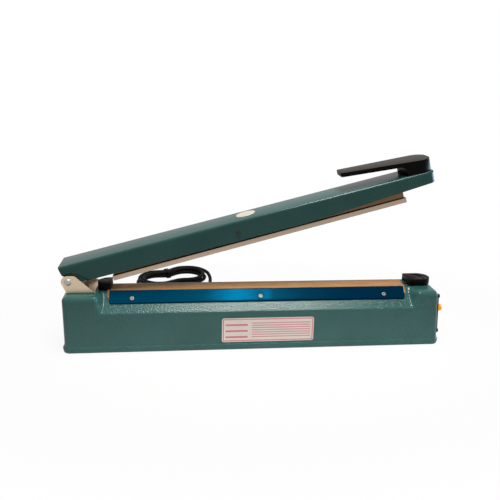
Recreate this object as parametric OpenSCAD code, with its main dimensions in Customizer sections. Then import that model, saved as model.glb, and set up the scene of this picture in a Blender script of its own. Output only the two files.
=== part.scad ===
// Bench heat sealer for plastic bags: a pressed steel base with the heating element along its ridge,
// and a hinged press arm that carries a floating pressure bar and a pull handle.
// Lengths are in millimetres. X runs along the base from the hinge end to the control end,
// Y points to the back, Z is up, and the feet stand on Z = 0. The arm is drawn open.

/* [Base housing] */
// Length of the housing between its end walls
base_len = 530; // [510:1:560]
// Depth of the housing between its front and rear walls
base_depth = 80; // [78:1:96]
// Height of the ridge and the end blocks above the table
base_top = 81.5; // [78:0.5:84]
// Height of the folds where the two slopes start
fold_z = 56.8; // [52:0.2:60]
// Width of the flat ridge
ridge_w = 30; // [29:0.5:33]
// Thickness of the housing sheet
wall_t = 1.5; // [1:0.1:2]
// Radius of the upright corners
corner_r = 8; // [5:0.5:10]
// Radius of the top edges of the end blocks
top_r = 7; // [4:0.5:9]
// Lean of the control end, in degrees
end_draft = 3.7; // [0:0.1:5]
// Length of the block at the hinge end
hinge_block = 53; // [51:0.5:58]
// Length of the block at the control end
control_block = 42; // [40:0.5:48]
// Radius of the hollow where a slope meets an end block
cove_r = 5; // [2:0.5:8]
// Lean of the end blocks' inner sides, in degrees
cove_lean = 8; // [0:1:15]
// Height of the rolled lip along the bottom
lip_h = 9; // [7:0.5:11]
// How far the lip stands out from the walls
lip_out = 2.8; // [1.5:0.1:4]
// Height of the lip's lower edge above the table
lip_z = 1.5; // [1.2:0.1:2.5]

/* [Bottom plate and feet] */
// Thickness of the bottom plate
plate_t = 1.2; // [1:0.1:2]
// Height of the bottom plate's underside above the table
plate_z = 3; // [2.6:0.1:4]
// Diameter of a rubber foot
foot_d = 18; // [12:1:22]
// Distance of the feet from the end walls
foot_inset = 40; // [25:1:60]

/* [Hinge] */
// Distance of the hinge pin from the hinge end of the base
pin_inset = 7.6; // [6:0.2:10]
// Height of the hinge pin above the table
pin_z = 98; // [96:0.5:102]
// Diameter of the hinge pin
pin_d = 6; // [5:0.5:7]
// Radial running clearance of pins and shafts in their holes
run_fit = 0.05; // [0.02:0.01:0.1]
// Thickness of the hinge bracket
bracket_t = 1.8; // [1.4:0.1:2]
// Length of the bracket along the base
bracket_len = 38; // [36:0.5:39]
// Radius of the bracket's ears round the pin
ear_r = 9; // [8.5:0.5:10]
// Level stretch at the top of an ear
ear_flat = 6; // [3:0.5:8]
// Slope of an ear's front edge, in degrees
ear_slant = 40.6; // [38:0.2:44]
// Angle of the arm above level when it is open
open_angle = 14.76; // [10:0.02:18]
// Wire diameter of the return spring
spring_wire = 1.8; // [1.2:0.1:2]
// Mean diameter of the return spring's curls
spring_d = 10.4; // [9.8:0.1:11]
// Number of whole curls in the return spring
spring_curls = 6; // [3:1:7]

/* [Press arm] */
// How much shorter the arm is, from the hinge pin to its tip, than the base
arm_short = 8.6; // [4:0.2:20]
// Width of the arm
arm_w = 48.6; // [44:0.2:52]
// Height of the arm's top above the hinge pin
arm_top = 23; // [20:0.5:26]
// Depth of the arm's side walls below the hinge pin
arm_drop = 4.4; // [3.8:0.2:5]
// Thickness of the arm sheet
arm_t = 1.5; // [1:0.1:2]
// Radius of the folds along the arm's top
arm_fold_r = 3; // [2.2:0.2:5]
// Radius of the arm's upright corners at the tip
arm_tip_r = 10; // [5:0.5:14]
// Length of the narrowing side walls at the tip
taper_len = 186; // [150:2:220]
// Rise of the side walls' lower edge at the tip
taper_rise = 11.2; // [8:0.2:14]
// Reach of the arm's top behind the hinge pin
arm_back = 6.3; // [5:0.1:7.5]
// Lateral clearance between the arm and the bracket's ears
ear_gap = 0.3; // [0.2:0.05:0.6]
// Margin of the pressed recess round an ear
recess_margin = 2.3; // [1.5:0.1:3]

/* [Handle] */
// Length of the handle along the arm
handle_len = 125.5; // [110:0.5:140]
// Distance of the handle's closed end from the arm's tip
handle_inset = 0.6; // [0.4:0.1:6]
// Width of the handle at its closed end
handle_w = 46.4; // [40:0.2:47]
// Width of the grip at its free end
grip_w = 29; // [22:0.5:40]
// Radius of the handle's corners at its closed end
handle_r = 17; // [8:0.5:19]
// Radius of the grip's corners at its free end
grip_r = 4; // [2:0.5:8]
// Height of the grip's top above the arm at its free end
grip_high = 26.1; // [22:0.1:30]
// Height of the grip's top above the arm at its closed end
grip_low = 16.6; // [13:0.1:20]
// Thickness of the grip
grip_t = 6; // [4.5:0.1:8]
// Length of the post that stands on the arm
post_len = 37.5; // [34:0.5:50]
// Radius at the inner end of the finger gap
slot_r = 5; // [3:0.5:6]

/* [Pressure bar] */
// Width of the bar's foot
bar_w = 17; // [15:0.5:20]
// Height of the bar's foot
bar_foot_h = 6.5; // [5:0.1:8]
// Thickness of the bar's upright web
web_t = 6; // [4:0.5:8]
// Distance of the bar's cross pin from the bar's middle, towards the hinge
bar_pin_off = 28.6; // [0:0.2:40]
// Height of the bar's cross pin above the hinge pin line
bar_pin_w = 5.8; // [4:0.2:8]
// Diameter of the cross pin
bar_pin_d = 5; // [4:0.5:6]
// Depth of the bar's sealing face below the hinge pin line
bar_face = 18.6; // [18:0.1:19]
// Tilt of the bar against the arm at rest, in degrees
bar_tilt = 0.37; // [0:0.01:0.5]
// Width of the silicone strip
silicone_w = 12; // [8:0.5:13]
// Depth of the groove that holds the silicone strip
silicone_groove = 2; // [1.5:0.1:3]
// How far the silicone strip stands out of the bar
silicone_out = 1; // [0.6:0.1:1.6]
// Clearance between each end of the bar and the terminal covers
bar_end_gap = 1; // [0.8:0.1:6]

/* [Seal line] */
// Distance of the fabric tape's ends from the end blocks
tape_margin = 5.7; // [5:0.1:9]
// Thickness of the tape
tape_t = 0.5; // [0.3:0.05:0.6]
// Width of the tape on the ridge
tape_w = 21.4; // [16:0.2:24]
// Length of the tape's leg on the front slope
tape_leg = 11.4; // [8:0.1:16]
// Thickness of the insulating bed under the element
bed_t = 1.2; // [0.8:0.1:1.6]
// Width of the heating ribbon
ribbon_w = 4; // [2:0.5:8]
// Thickness of the heating ribbon
ribbon_t = 0.4; // [0.2:0.05:0.5]
// Distance of the clamp strip's ends from the tape's ends
strip_margin = 2.8; // [0.5:0.1:8]
// Width of the clamp strip
strip_w = 20; // [16:0.5:24]
// Thickness of the clamp strip
strip_t = 1.2; // [0.8:0.1:2]
// Radius of the clamp strip's lower corners
strip_r = 4; // [2:0.5:6]
// Distance of the clamp strip's outer screws from its ends
strip_screw_inset = 31; // [12:1:60]

/* [Terminal covers] */
// Height of the covers above the ridge
cover_h = 9.5; // [8:0.1:9.8]
// Wall of the covers
cover_t = 1.6; // [1.2:0.1:2]
// Length of the cover beside the hinge bracket
hinge_cover_len = 19; // [18:0.5:24]
// Length of the cover at the control end
control_cover_len = 35; // [30:0.5:36]

/* [Control end] */
// Width of the end panel
panel_w = 62; // [58:1:64]
// Height of the end panel
panel_h = 62; // [58:1:63]
// Thickness of the end panel
panel_t = 3.5; // [2.5:0.1:4]
// Radius of the end panel's corners
panel_r = 5; // [2:0.5:7]
// Diameter of the lamp lens
lens_d = 12; // [8:0.5:14]
// How far the lens stands out of the panel
lens_out = 8; // [4:0.5:10]
// Diameter of the timer knob
knob_d = 24; // [18:0.5:28]
// Height of the timer knob
knob_h = 12; // [9:0.5:15]

/* [Inside] */
// Diameter of the switch plunger
plunger_d = 5; // [4:0.5:6]
// Length of the transformer core
core_l = 60; // [50:1:70]
// Height of the transformer core
core_h = 50; // [45:1:55]
// Thickness of the transformer's lamination stack
core_t = 34; // [28:1:38]

/* [Mains lead] */
// Diameter of the lead
cord_d = 6.2; // [5:0.1:6.2]
// Turns of the lead in its hank, a whole number and a half
hank_turns = 3.5; // [2.5:1:3.5]
// Half length of the hank's straight runs
hank_run = 27; // [24:1:32]
// Radius of the hank's outer folds
hank_r = 38; // [34:0.5:40]

/* [Hidden] */
$fn = 48;

// Radial clearance of a screw in its hole, and slack that makes cuts break through a face
fit = 0.05;
cut = 1;
// Machine screws: shank, head width and head height of the small and the larger size
small_screw = [3, 5.8, 1.8];
large_screw = [4, 7.6, 2.4];
// Lengths of the screws under their heads
bottom_screw_len = 5;
bracket_screw_len = 8;
terminal_screw_len = 8;
strip_screw_len = 6;
cover_screw_len = cover_h + 3;
panel_screw_len = 6;
core_screw_len = 5;
handle_screw_len = 13;
// Colours
teal = [0.27, 0.42, 0.41];
black = [0.06, 0.06, 0.065];
zinc = [0.78, 0.76, 0.72];
brass_tone = [0.78, 0.62, 0.3];
blue_film = [0.0, 0.25, 0.38];

// Base: end walls, lip top and the edges of the end blocks
left_x = -base_len / 2;
right_x = base_len / 2;
half_d = base_depth / 2;
lip_top = lip_z + lip_h;
inner_left = left_x + hinge_block;
inner_right = right_x - control_block;
seal_x = (inner_left + inner_right) / 2;
tape_len = inner_right - inner_left - 2 * tape_margin;
strip_len = tape_len - 2 * strip_margin;
strip_pitch = strip_len / 2 - strip_screw_inset;
arm_len = base_len - arm_short;
taper_start = arm_len - taper_len;
// Slope: angle from level, and its length from the ridge down to the fold
slope_run = half_d - ridge_w / 2;
slope_fall = base_top - fold_z;
slope_a = atan2(slope_fall, slope_run);
slope_len = norm([slope_run, slope_fall]);
plate_top = plate_z + plate_t;
plate_gap = 0.5;

// Hinge: pin, bracket and the arm's swing
pin_x = left_x + pin_inset;
bracket_x = pin_x - 2.4;
bracket_end = bracket_x + bracket_len;
bracket_top = base_top + bracket_t;
ear_out = arm_w / 2 + ear_gap;
ear_in = ear_out - bracket_t;
wall_in = ear_in - ear_gap - arm_t;

// Stack on the ridge: bed, ribbon and tape
bed_top = base_top + bed_t;
ribbon_top = bed_top + ribbon_t;
tape_top = ribbon_top + tape_t;
// The slope's line meets the ribbon's top and the tape's top at these depths
slope_y_at_ribbon = -ridge_w / 2 + (ribbon_top - base_top) / tan(slope_a);
slope_y_at_bed = -ridge_w / 2 + bed_t / tan(slope_a);
tape_back = slope_y_at_ribbon + tape_w;
bed_margin = 0.3;

// Terminal covers and the bar between them
cover_gap = 0.8;
cover_w = ridge_w;
cover_top = base_top + cover_h;
hinge_cover_x = bracket_end + cover_gap;
hinge_cover_face = hinge_cover_x + hinge_cover_len;
cover_set_back = 0.9;
control_cover_face = inner_right + cover_set_back;
bar_len = control_cover_face - hinge_cover_face - 2 * bar_end_gap;
bar_u = hinge_cover_face + bar_end_gap - pin_x;
bar_pin_u = bar_u + bar_len / 2 - bar_pin_off;
// Angle of the arm above level when the silicone strip just meets the tape
close_gap = 0.02;
pin_drop = tape_top + close_gap + bar_face + bar_pin_w - pin_z;
closed_angle = asin(pin_drop / norm([bar_pin_u, bar_pin_w])) - atan2(bar_pin_w, bar_pin_u);
hinge_cover_screw = [8, -9.4];
control_cover_screw = [control_cover_len - 8, 0];
tape_tuck = hinge_cover_face - seal_x + tape_len / 2;
terminal_l = 5.8;
terminal_x = [hinge_cover_face - tape_tuck - 1 - terminal_l / 2, control_cover_face + 9];

// Control end: middle of the panel on the leaning wall, lamp and knob places across and up the panel
panel_z = lip_top + 1.5 + panel_h / 2;
end_x = right_x - (panel_z - lip_top) * tan(end_draft);
window_margin = 7;
// Cuts through the leaning wall reach this far to both sides of it
wall_reach = 10;
lamp_hole = lens_d + 3;
lamp_at = [-7, -22];
knob_at = [-5, 10];
knob_gap = 0.6;
shaft_d = 6;
knob_tip = panel_t + knob_gap + knob_h;

// Frame: the middle of the object's reach along X is the origin
arm_rear = pin_x - arm_back * cos(open_angle) - arm_top * sin(open_angle);
reach_left = min(left_x - lip_out, arm_rear);
knob_reach = end_x + (knob_at[0] + knob_d / 2) * sin(end_draft) + knob_tip * cos(end_draft);
reach_right = max(right_x + lip_out, knob_reach);
frame_x = -(reach_left + reach_right) / 2;

// Switch: the arm's set screw, the plunger under it and the microswitch
set_u = 17.5;
set_w = -6;
set_r = 2;
set_gap = 0.3;
tab_t = 2;
leg_gap = 0.1;
tab_w = -(spring_d - spring_wire) / 2 + leg_gap;
function set_tip(a) = pin_z + set_u * sin(a) + set_w * cos(a) - set_r;
plunger_top = set_tip(open_angle) - set_gap;
plunger_stroke = set_tip(open_angle) - set_tip(closed_angle);
plunger_x = pin_x + set_u * (cos(open_angle) + cos(closed_angle)) / 2
            - set_w * (sin(open_angle) + sin(closed_angle)) / 2;
guide_r = 4.5;
guide_flange = [6.5, 1.5];
switch_top = base_top - 13.5;
switch_size = [28, 10, 16];
button_d = 3;

// Handle in the arm's frame
handle_end = arm_len - handle_inset;
handle_start = handle_end - handle_len;
handle_screw_u = [handle_end - post_len * 0.28, handle_end - post_len * 0.72];

// Mains lead: gland in the rear wall, hank on the table behind the base, plug beside it
gland_x = -150;
gland_flange = [cord_d + 11, 3];
gland_back = [cord_d + 10, 3];
gland_taper = [cord_d + 7, cord_d + 2.2];
gland_hole = cord_d + 6;
gland_z = lip_top + gland_flange[0] / 2 + 0.7;
gland_len = 28;
cord_z = cord_d / 2 + 0.9;
layer_step = cord_d + 0.6;
loop_step = cord_d + 0.8;
hank_at = [-123, 245];
hank_turn = 24;
hank_pinch = 7;
hank_quarter = 0.134;
rings_per_loop = 24;
lead_points = [[-150, 80, 19.2], [-150, 94, 16.2], [-150, 108, 11.6], [-150, 122, 7], [-149.5, 135, 4.5],
               [-150, 148, 4], [-152.5, 160, 4], [-157, 172.5, 4], [-163, 185, 4], [-170, 196, 4]];
tail_points = [[-56.5, 253, 9.4], [-55, 244, 8], [-54.5, 235.5, 6.6], [-55, 227, 5.4], [-56, 218, 4.8],
               [-57.5, 208, 5], [-58, 198, 6.2], [-58, 187, 7.5]];
plug_at = [-58, 178, 8];
plug_size = [27, 36, 15];
plug_pin = [4, 19, 19];

// Outline helpers
function arc(c, r, a0, a1, n = 6) =
    [for (i = [0:n]) let (a = a0 + (a1 - a0) * i / n) c + r * [cos(a), sin(a)]];
function round_rect(l, w, r) = concat(
    arc([l / 2 - r, w / 2 - r], r, 0, 90), arc([-l / 2 + r, w / 2 - r], r, 90, 180),
    arc([-l / 2 + r, -w / 2 + r], r, 180, 270), arc([l / 2 - r, -w / 2 + r], r, 270, 360));

// Tube helpers: rings of points round a path, joined by triangles
function unit(v) = v / norm(v);
function heading(p, i) = unit(p[min(i + 1, len(p) - 1)] - p[max(i - 1, 0)]);
function ring(c, dir, ref, r, sides) =
    let (side = unit(cross(ref, dir)), up = cross(dir, side))
    [for (k = [0:sides - 1]) c + r * (cos(360 * k / sides) * side + sin(360 * k / sides) * up)];
module tube(path, d, sides, ref) {
    n = len(path);
    points = [for (i = [0:n - 1]) each ring(path[i], heading(path, i), ref, d / 2, sides)];
    walls = [for (i = [0:n - 2], k = [0:sides - 1])
        let (a = i * sides + k, b = i * sides + (k + 1) % sides)
        each [[a, b, a + sides], [b, b + sides, a + sides]]];
    caps = [for (k = [1:sides - 2])
        each [[0, k + 1, k], [(n - 1) * sides, (n - 1) * sides + k, (n - 1) * sides + k + 1]]];
    polyhedron(points = points, faces = [for (f = concat(walls, caps)) [f[0], f[2], f[1]]], convexity = 10);
}

// Frames of reference
module in_frame() translate([frame_x, 0, 0]) children();
module on_arm() translate([pin_x, 0, pin_z]) rotate([0, -open_angle, 0]) children();
module on_bar() on_arm() translate([bar_pin_u, 0, bar_pin_w]) rotate([0, -bar_tilt, 0])
    translate([-bar_pin_u, 0, -bar_pin_w]) children();
// Front slope: x along the base, y up the slope from the ridge's edge, z out of it
module on_slope() translate([0, -ridge_w / 2, base_top]) rotate([slope_a, 0, 0]) children();
// Control end: x down the wall, y to the back, z out of it
module on_end() translate([end_x, 0, panel_z]) rotate([0, 90 - end_draft, 0]) children();
module at_lamp(height) on_end() translate([lamp_at[0], lamp_at[1], height]) children();
module at_timer(height) on_end() translate([knob_at[0], knob_at[1], height]) children();
// Extrudes an outline drawn in x and z along y
module across(y0, y1) translate([0, y1, 0]) rotate([90, 0, 0]) linear_extrude(y1 - y0) children();
// Extrudes an outline drawn in y and z along x
module along(x0, x1) translate([x0, 0, 0]) rotate([90, 0, 90]) linear_extrude(x1 - x0) children();

// Pan-head screw whose head sits on z = 0 and whose shank points down
module pan_screw(size, length) {
    slot = [size[1] * 0.6, size[0] * 0.26, size[2]];
    difference() {
        union() {
            translate([0, 0, -length]) cylinder(d = size[0], h = length + size[2] / 2);
            cylinder(d = size[1], h = size[2]);
        }
        for (a = [0, 90]) rotate([0, 0, a]) translate([-slot[0] / 2, -slot[1] / 2, size[2] / 2]) cube(slot);
    }
}
// Hole for a screw of that length, cut past its tip and up through its seat
module screw_hole(size, length)
    translate([0, 0, -length - cut]) cylinder(d = size[0] + 2 * fit, h = length + 2 * cut);

// Where the screws go, for the screws and for their holes alike
bottom_screw_x = [left_x + 22, right_x - 30];
bottom_screw_y = half_d - wall_t - 6;
module at_bottom_screws() for (x = bottom_screw_x, y = [-1, 1])
    translate([x, y * bottom_screw_y, plate_z]) rotate([180, 0, 0]) children();
bracket_screw_x = pin_x + 10;
bracket_screw_y = 15;
module at_bracket_screws() for (y = [-1, 1])
    translate([bracket_screw_x, y * bracket_screw_y, bracket_top]) children();
strip_screw_y = max(strip_w * 0.66, tape_leg + small_screw[0] / 2 + 0.2);
module at_strip_screws() for (i = [-1:1]) on_slope()
    translate([seal_x + i * strip_pitch, -strip_screw_y, tape_t + strip_t]) children();
module at_cover_screws() {
    seat = cover_top - small_screw[2];
    translate([hinge_cover_face - hinge_cover_screw[0], -hinge_cover_screw[1], seat]) children();
    translate([control_cover_face + control_cover_screw[0], control_cover_screw[1], seat]) children();
}
panel_screw_inset = 4;
module at_panel_screws() for (a = [-1, 1], y = [-1, 1]) on_end()
    translate([a * (panel_h / 2 - panel_screw_inset), y * (panel_w / 2 - panel_screw_inset), panel_t])
        children();

// Base housing: a pressed shell with sloping long sides between two end blocks
function side_outline(g) =
    let (c = base_top - top_r, foot = g > 0 ? lip_z - cut : lip_z,
         cx = right_x - (top_r + (c - lip_top) * sin(end_draft)) / cos(end_draft))
    concat([[left_x + g, foot], [right_x - g, foot], [right_x - g / cos(end_draft), lip_top]],
           arc([cx, c], top_r - g, end_draft, 90), arc([left_x + top_r, c], top_r - g, 90, 180));
function end_outline(g) =
    let (foot = g > 0 ? lip_z - cut : lip_z, c = base_top - top_r)
    concat([[-half_d + g, foot], [half_d - g, foot]],
           arc([half_d - top_r, c], top_r - g, 0, 90), arc([-half_d + top_r, c], top_r - g, 90, 180));
module upright_block(l, w, r, h) {
    translate([-l / 2 + r, -w / 2, 0]) cube([l - 2 * r, w, h]);
    translate([-l / 2, -w / 2 + r, 0]) cube([l, w - 2 * r, h]);
    for (a = [-1, 1], b = [-1, 1]) translate([a * (l / 2 - r), b * (w / 2 - r), 0]) cylinder(r = r, h = h);
}
module housing_block(g) intersection() {
    across(-half_d, half_d) polygon(side_outline(g));
    along(left_x, right_x) polygon(end_outline(g));
    upright_block(base_len - 2 * g, base_depth - 2 * g, corner_r - g, base_top + cut);
}
// Space over one slope, between the end blocks, with coved ends
module slope_space(g) {
    reach = slope_len + base_depth;
    lean = reach * tan(cove_lean);
    l = inner_right - inner_left + 2 * g;
    turn = 90 - cove_lean;
    r = cove_r + g;
    flat = l / 2 - r * tan(turn / 2);
    outline = concat(arc([-flat, r], r, 270, 270 - turn), [[-l / 2 - lean, reach], [l / 2 + lean, reach]],
                     arc([flat, r], r, 270 + turn, 270));
    on_slope() translate([seal_x, 0, -g]) across(-reach, slope_len) polygon(outline);
}
module both_slopes(g) {
    slope_space(g);
    mirror([0, 1, 0]) slope_space(g);
}
module lip() {
    bulge = lip_h * 0.62;
    section = concat([[-wall_t / 2, 0], [0, 0]],
        [for (a = [0:15:90]) [lip_out * cos(a), bulge + (lip_h - bulge) * sin(a)]], [[-wall_t / 2, lip_h]]);
    half = [base_len / 2, half_d];
    run = [base_depth - 2 * corner_r, base_len - 2 * corner_r];
    translate([0, 0, lip_z]) for (k = [0:3]) rotate([0, 0, 90 * k]) {
        translate([half[k % 2], 0, 0]) across(-run[k % 2] / 2, run[k % 2] / 2) polygon(section);
        translate([half[k % 2] - corner_r, run[k % 2] / 2, 0]) rotate_extrude(angle = 90)
            translate([corner_r, 0]) polygon(section);
    }
}
// Tabs inside the long walls that take the bottom plate's screws
plate_tab_w = 14;
plate_tab_t = 2.5;
module plate_tabs() at_bottom_screws() mirror([0, 0, 1])
    translate([-plate_tab_w / 2, -plate_tab_w / 2, plate_t])
        cube([plate_tab_w, plate_tab_w + wall_t, plate_tab_t]);
module base_housing() color(teal) difference() {
    union() {
        difference() {
            housing_block(0);
            both_slopes(0);
            difference() {
                housing_block(wall_t);
                both_slopes(wall_t);
            }
        }
        lip();
        intersection() {
            plate_tabs();
            housing_block(wall_t / 2);
        }
    }
    at_bottom_screws() screw_hole(small_screw, bottom_screw_len);
    at_bracket_screws() screw_hole(large_screw, bracket_screw_len);
    at_strip_screws() screw_hole(small_screw, strip_screw_len);
    at_cover_screws() screw_hole(small_screw, cover_screw_len);
    at_terminals() screw_hole(small_screw, terminal_screw_len);
    at_panel_screws() screw_hole(small_screw, panel_screw_len);
    translate([plunger_x, 0, base_top - wall_t - cut]) cylinder(r = guide_r + fit, h = wall_t + 2 * cut);
    on_end() translate([-panel_h / 2 + window_margin, -panel_w / 2 + window_margin, -wall_reach])
        cube([panel_h - 2 * window_margin, panel_w - 2 * window_margin, 2 * wall_reach]);
    at_lamp(-wall_reach) cylinder(d = lamp_hole, h = 2 * wall_reach);
    translate([gland_x, half_d + cut, gland_z]) rotate([90, 0, 0])
        cylinder(d = gland_hole, h = wall_t + 2 * cut);
}

// Bottom plate, its screws and the rubber feet
module at_feet() for (x = [left_x + foot_inset, right_x - foot_inset], y = [-1, 1])
    translate([x, y * (half_d - foot_d / 2 - foot_side), 0]) children();
foot_side = 12;
foot_stem = 7;
foot_lock = [foot_stem + 3, 1.5];
foot_hollow = 4;
module bottom_plate() color(zinc) difference() {
    inset = wall_t + plate_gap;
    translate([0, 0, plate_z]) linear_extrude(plate_t)
        polygon(round_rect(base_len - 2 * inset, base_depth - 2 * inset, corner_r - inset));
    at_bottom_screws() screw_hole(small_screw, bottom_screw_len);
    at_feet() cylinder(d = foot_stem + 2 * fit, h = plate_top + cut);
    at_core_screws() screw_hole(large_screw, core_screw_len);
    at_board_posts() cylinder(d = small_screw[0] + 2 * fit, h = 2 * plate_top, center = true);
}
module bottom_screws() color(zinc) at_bottom_screws() pan_screw(small_screw, bottom_screw_len);
module rubber_feet() color(black) at_feet() {
    difference() {
        union() {
            cylinder(d = foot_d, h = plate_z);
            cylinder(d = foot_stem, h = plate_top);
            translate([0, 0, plate_top]) cylinder(d = foot_lock[0], h = foot_lock[1]);
        }
        translate([0, 0, -cut]) cylinder(d = foot_hollow, h = plate_z);
    }
}

// Hinge bracket: a folded steel channel whose ears hold the pin
function ear_outline(g) =
    let (foot = base_top - pin_z, end = bracket_end - pin_x + g, back = bracket_x - pin_x - g,
         n = 90 - ear_slant, r = ear_r + g, top = [ear_flat, 0] + r * [cos(n), sin(n)],
         end_w = top[1] - (end - top[0]) * tan(ear_slant))
    concat(arc([0, 0], r, 196, 90, 8), arc([ear_flat, 0], r, 90, n, 4),
           [[end, end_w], [end, foot], [back, foot]]);
module hinge_bracket() color([0.8, 0.72, 0.63]) difference() {
    union() {
        translate([bracket_x, -ear_out, base_top]) cube([bracket_len, 2 * ear_out, bracket_t]);
        for (s = [-1, 1]) translate([pin_x, 0, pin_z])
            across(s * (ear_in + ear_out) / 2 - bracket_t / 2, s * (ear_in + ear_out) / 2 + bracket_t / 2)
                polygon(ear_outline(0));
    }
    translate([pin_x, 0, pin_z]) rotate([90, 0, 0])
        cylinder(d = pin_d + 2 * fit, h = 4 * ear_out, center = true);
    at_bracket_screws() screw_hole(large_screw, bracket_screw_len);
    translate([plunger_x, 0, base_top - cut]) cylinder(r = guide_r + fit, h = bracket_t + 2 * cut);
}
module bracket_screws() color(zinc) at_bracket_screws() pan_screw(large_screw, bracket_screw_len);
pin_head = [10, 2.4];
pin_dome_r = 6.2;
pin_past = 3;
clip_y = ear_out + 0.2;
clip_t = 0.8;
clip_d = pin_d + 6;
groove_d = pin_d - 1.2;
module hinge_pin() color(zinc) translate([pin_x, 0, pin_z]) rotate([-90, 0, 0]) difference() {
    union() {
        translate([0, 0, -ear_out]) cylinder(d = pin_d, h = 2 * ear_out + pin_past);
        translate([0, 0, -ear_out]) rotate([180, 0, 0]) intersection() {
            cylinder(d = pin_head[0], h = pin_head[1]);
            translate([0, 0, pin_head[1] - pin_dome_r]) sphere(r = pin_dome_r);
        }
    }
    translate([0, 0, clip_y]) difference() {
        cylinder(d = pin_d + 2 * cut, h = clip_t);
        cylinder(d = groove_d, h = clip_t);
    }
}
module pin_clip() color(zinc) translate([pin_x, clip_y + fit, pin_z]) rotate([-90, 0, 0]) difference() {
    cylinder(d = clip_d, h = clip_t - 2 * fit);
    translate([0, 0, -cut]) cylinder(d = groove_d + 2 * fit, h = clip_t + 2 * cut);
    translate([-groove_d * 0.4, 0, -cut]) cube([groove_d * 0.8, clip_d, clip_t + 2 * cut]);
}
// Return spring: curls round the pin, one leg on the bracket and one under the arm's tab
spring_steps = 8;
spring_half = 8;
leg_down = pin_z - bracket_top - spring_wire / 2 - leg_gap;
leg_out = set_u + 4;
spring_sweep = 360 * spring_curls + 270 + open_angle;
spring_path = let (n = round(spring_sweep / 360 * spring_steps), r = spring_d / 2)
    concat([for (w = [leg_down, leg_down / 2, spring_wire]) [r, -spring_half, -w]],
           [for (i = [0:n]) let (a = spring_sweep * i / n)
               [r * cos(a), -spring_half + 2 * spring_half * i / n, r * sin(a)]],
           [for (s = [spring_wire, leg_out / 2, leg_out]) let (a = spring_sweep)
               [r * cos(a) - s * sin(a), spring_half, r * sin(a) + s * cos(a)]]);
module return_spring() color([0.45, 0.45, 0.47]) translate([pin_x, 0, pin_z])
    tube(spring_path, spring_wire, 6, [0, 1, 0]);

// Seal line on the ridge: bed, heating ribbon, end terminals, tape and clamp strip
module element_bed() color([0.85, 0.8, 0.68])
    translate([seal_x - tape_len / 2 + bed_margin, slope_y_at_bed + bed_margin, base_top])
        cube([tape_len - 2 * bed_margin, tape_w - 2 * bed_margin, bed_t]);
ribbon_y = slope_y_at_ribbon + tape_w / 2;
module heating_element() color([0.6, 0.58, 0.55])
    translate([terminal_x[0] - terminal_l / 2, ribbon_y - ribbon_w / 2, bed_top])
        cube([terminal_x[1] - terminal_x[0] + terminal_l, ribbon_w, ribbon_t]);
// Brass terminals: a base block beside the ribbon's end and a clamp plate over it
terminal_w = ribbon_w + 6;
terminal_edge = 1;
terminal_screw_y = ribbon_y + ribbon_w / 2 + 2.2;
clamp_t = 1.8;
module at_terminals() for (x = terminal_x) translate([x, terminal_screw_y, ribbon_top + clamp_t]) children();
module element_terminals() color(brass_tone) difference() {
    step = terminal_edge + ribbon_w + 2 * fit;
    for (x = terminal_x) translate([x - terminal_l / 2, ribbon_y - ribbon_w / 2 - terminal_edge, 0]) {
        translate([0, 0, base_top]) cube([terminal_l, terminal_w, bed_t]);
        translate([0, 0, ribbon_top]) cube([terminal_l, terminal_w, clamp_t]);
        translate([0, step, bed_top]) cube([terminal_l, terminal_w - step, ribbon_t]);
    }
    at_terminals() screw_hole(small_screw, terminal_screw_len);
}
module terminal_screws() color(zinc) at_terminals() pan_screw(small_screw, terminal_screw_len);
// Tape: from its back edge over the ribbon, round the ridge's edge and down the front slope
module sealing_tape() color([0.72, 0.57, 0.43]) {
    dir = [-cos(slope_a), -sin(slope_a)];
    out = [-sin(slope_a), cos(slope_a)];
    edge = [slope_y_at_ribbon, ribbon_top];
    top_edge = [slope_y_at_ribbon + tape_t * (cos(slope_a) - 1) / sin(slope_a), tape_top];
    foot = [-ridge_w / 2, base_top] + tape_leg * dir;
    along(seal_x - tape_len / 2, seal_x + tape_len / 2) polygon([
        [tape_back, ribbon_top], [tape_back, tape_top], top_edge, foot + tape_t * out, foot, edge]);
}
strip_gap = 0.02;
module clamp_strip() color(blue_film) difference() {
    half = strip_len / 2;
    on_slope() translate([seal_x, 0, tape_t + strip_gap]) linear_extrude(strip_t - strip_gap)
        polygon(concat([[half, 0], [-half, 0]],
                       arc([-half + strip_r, -strip_w + strip_r], strip_r, 180, 270),
                       arc([half - strip_r, -strip_w + strip_r], strip_r, 270, 360)));
    at_strip_screws() screw_hole(small_screw, strip_screw_len);
}
module strip_screws() color(zinc) at_strip_screws() pan_screw(small_screw, strip_screw_len);

// Terminal covers: moulded caps with one square end over the tape and one round end
module round_end_block(l, w, h) {
    translate([0, -w / 2, 0]) cube([l - w / 2, w, h]);
    intersection() {
        translate([l - w / 2, 0, 0]) cylinder(d = w, h = h);
        translate([0, -w / 2, 0]) cube([l, w, h]);
    }
}
// Clearances in a cover: over the tape, past the end of a tucked tape and round a screw's head
tape_clear = 0.5;
tuck_clear = 0.8;
head_clear = 0.4;
cover_boss = small_screw[1] + 2;
module cover_shape(l, screw_at, tuck) difference() {
    mouth = tape_top - base_top + tape_clear;
    round_end_block(l, cover_w, cover_h);
    difference() {
        translate([cover_t, 0, -cut])
            round_end_block(l - 2 * cover_t, cover_w - 2 * cover_t, cover_h - cover_t + cut);
        translate([screw_at[0], screw_at[1], -cut]) cylinder(d = cover_boss, h = cover_h + cut);
    }
    translate([-cut, -cover_w / 2 + cover_t, -cut])
        cube([cover_t + 2 * cut, cover_w - 2 * cover_t, mouth + cut]);
    if (tuck > 0) translate([-cut, 0, -cut]) cube([tuck + tuck_clear + cut, cover_w, mouth + cut]);
    translate([screw_at[0], screw_at[1], cover_h - small_screw[2]]) {
        screw_hole(small_screw, cover_screw_len);
        cylinder(d = small_screw[1] + head_clear, h = small_screw[2] + cut);
    }
}
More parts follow.
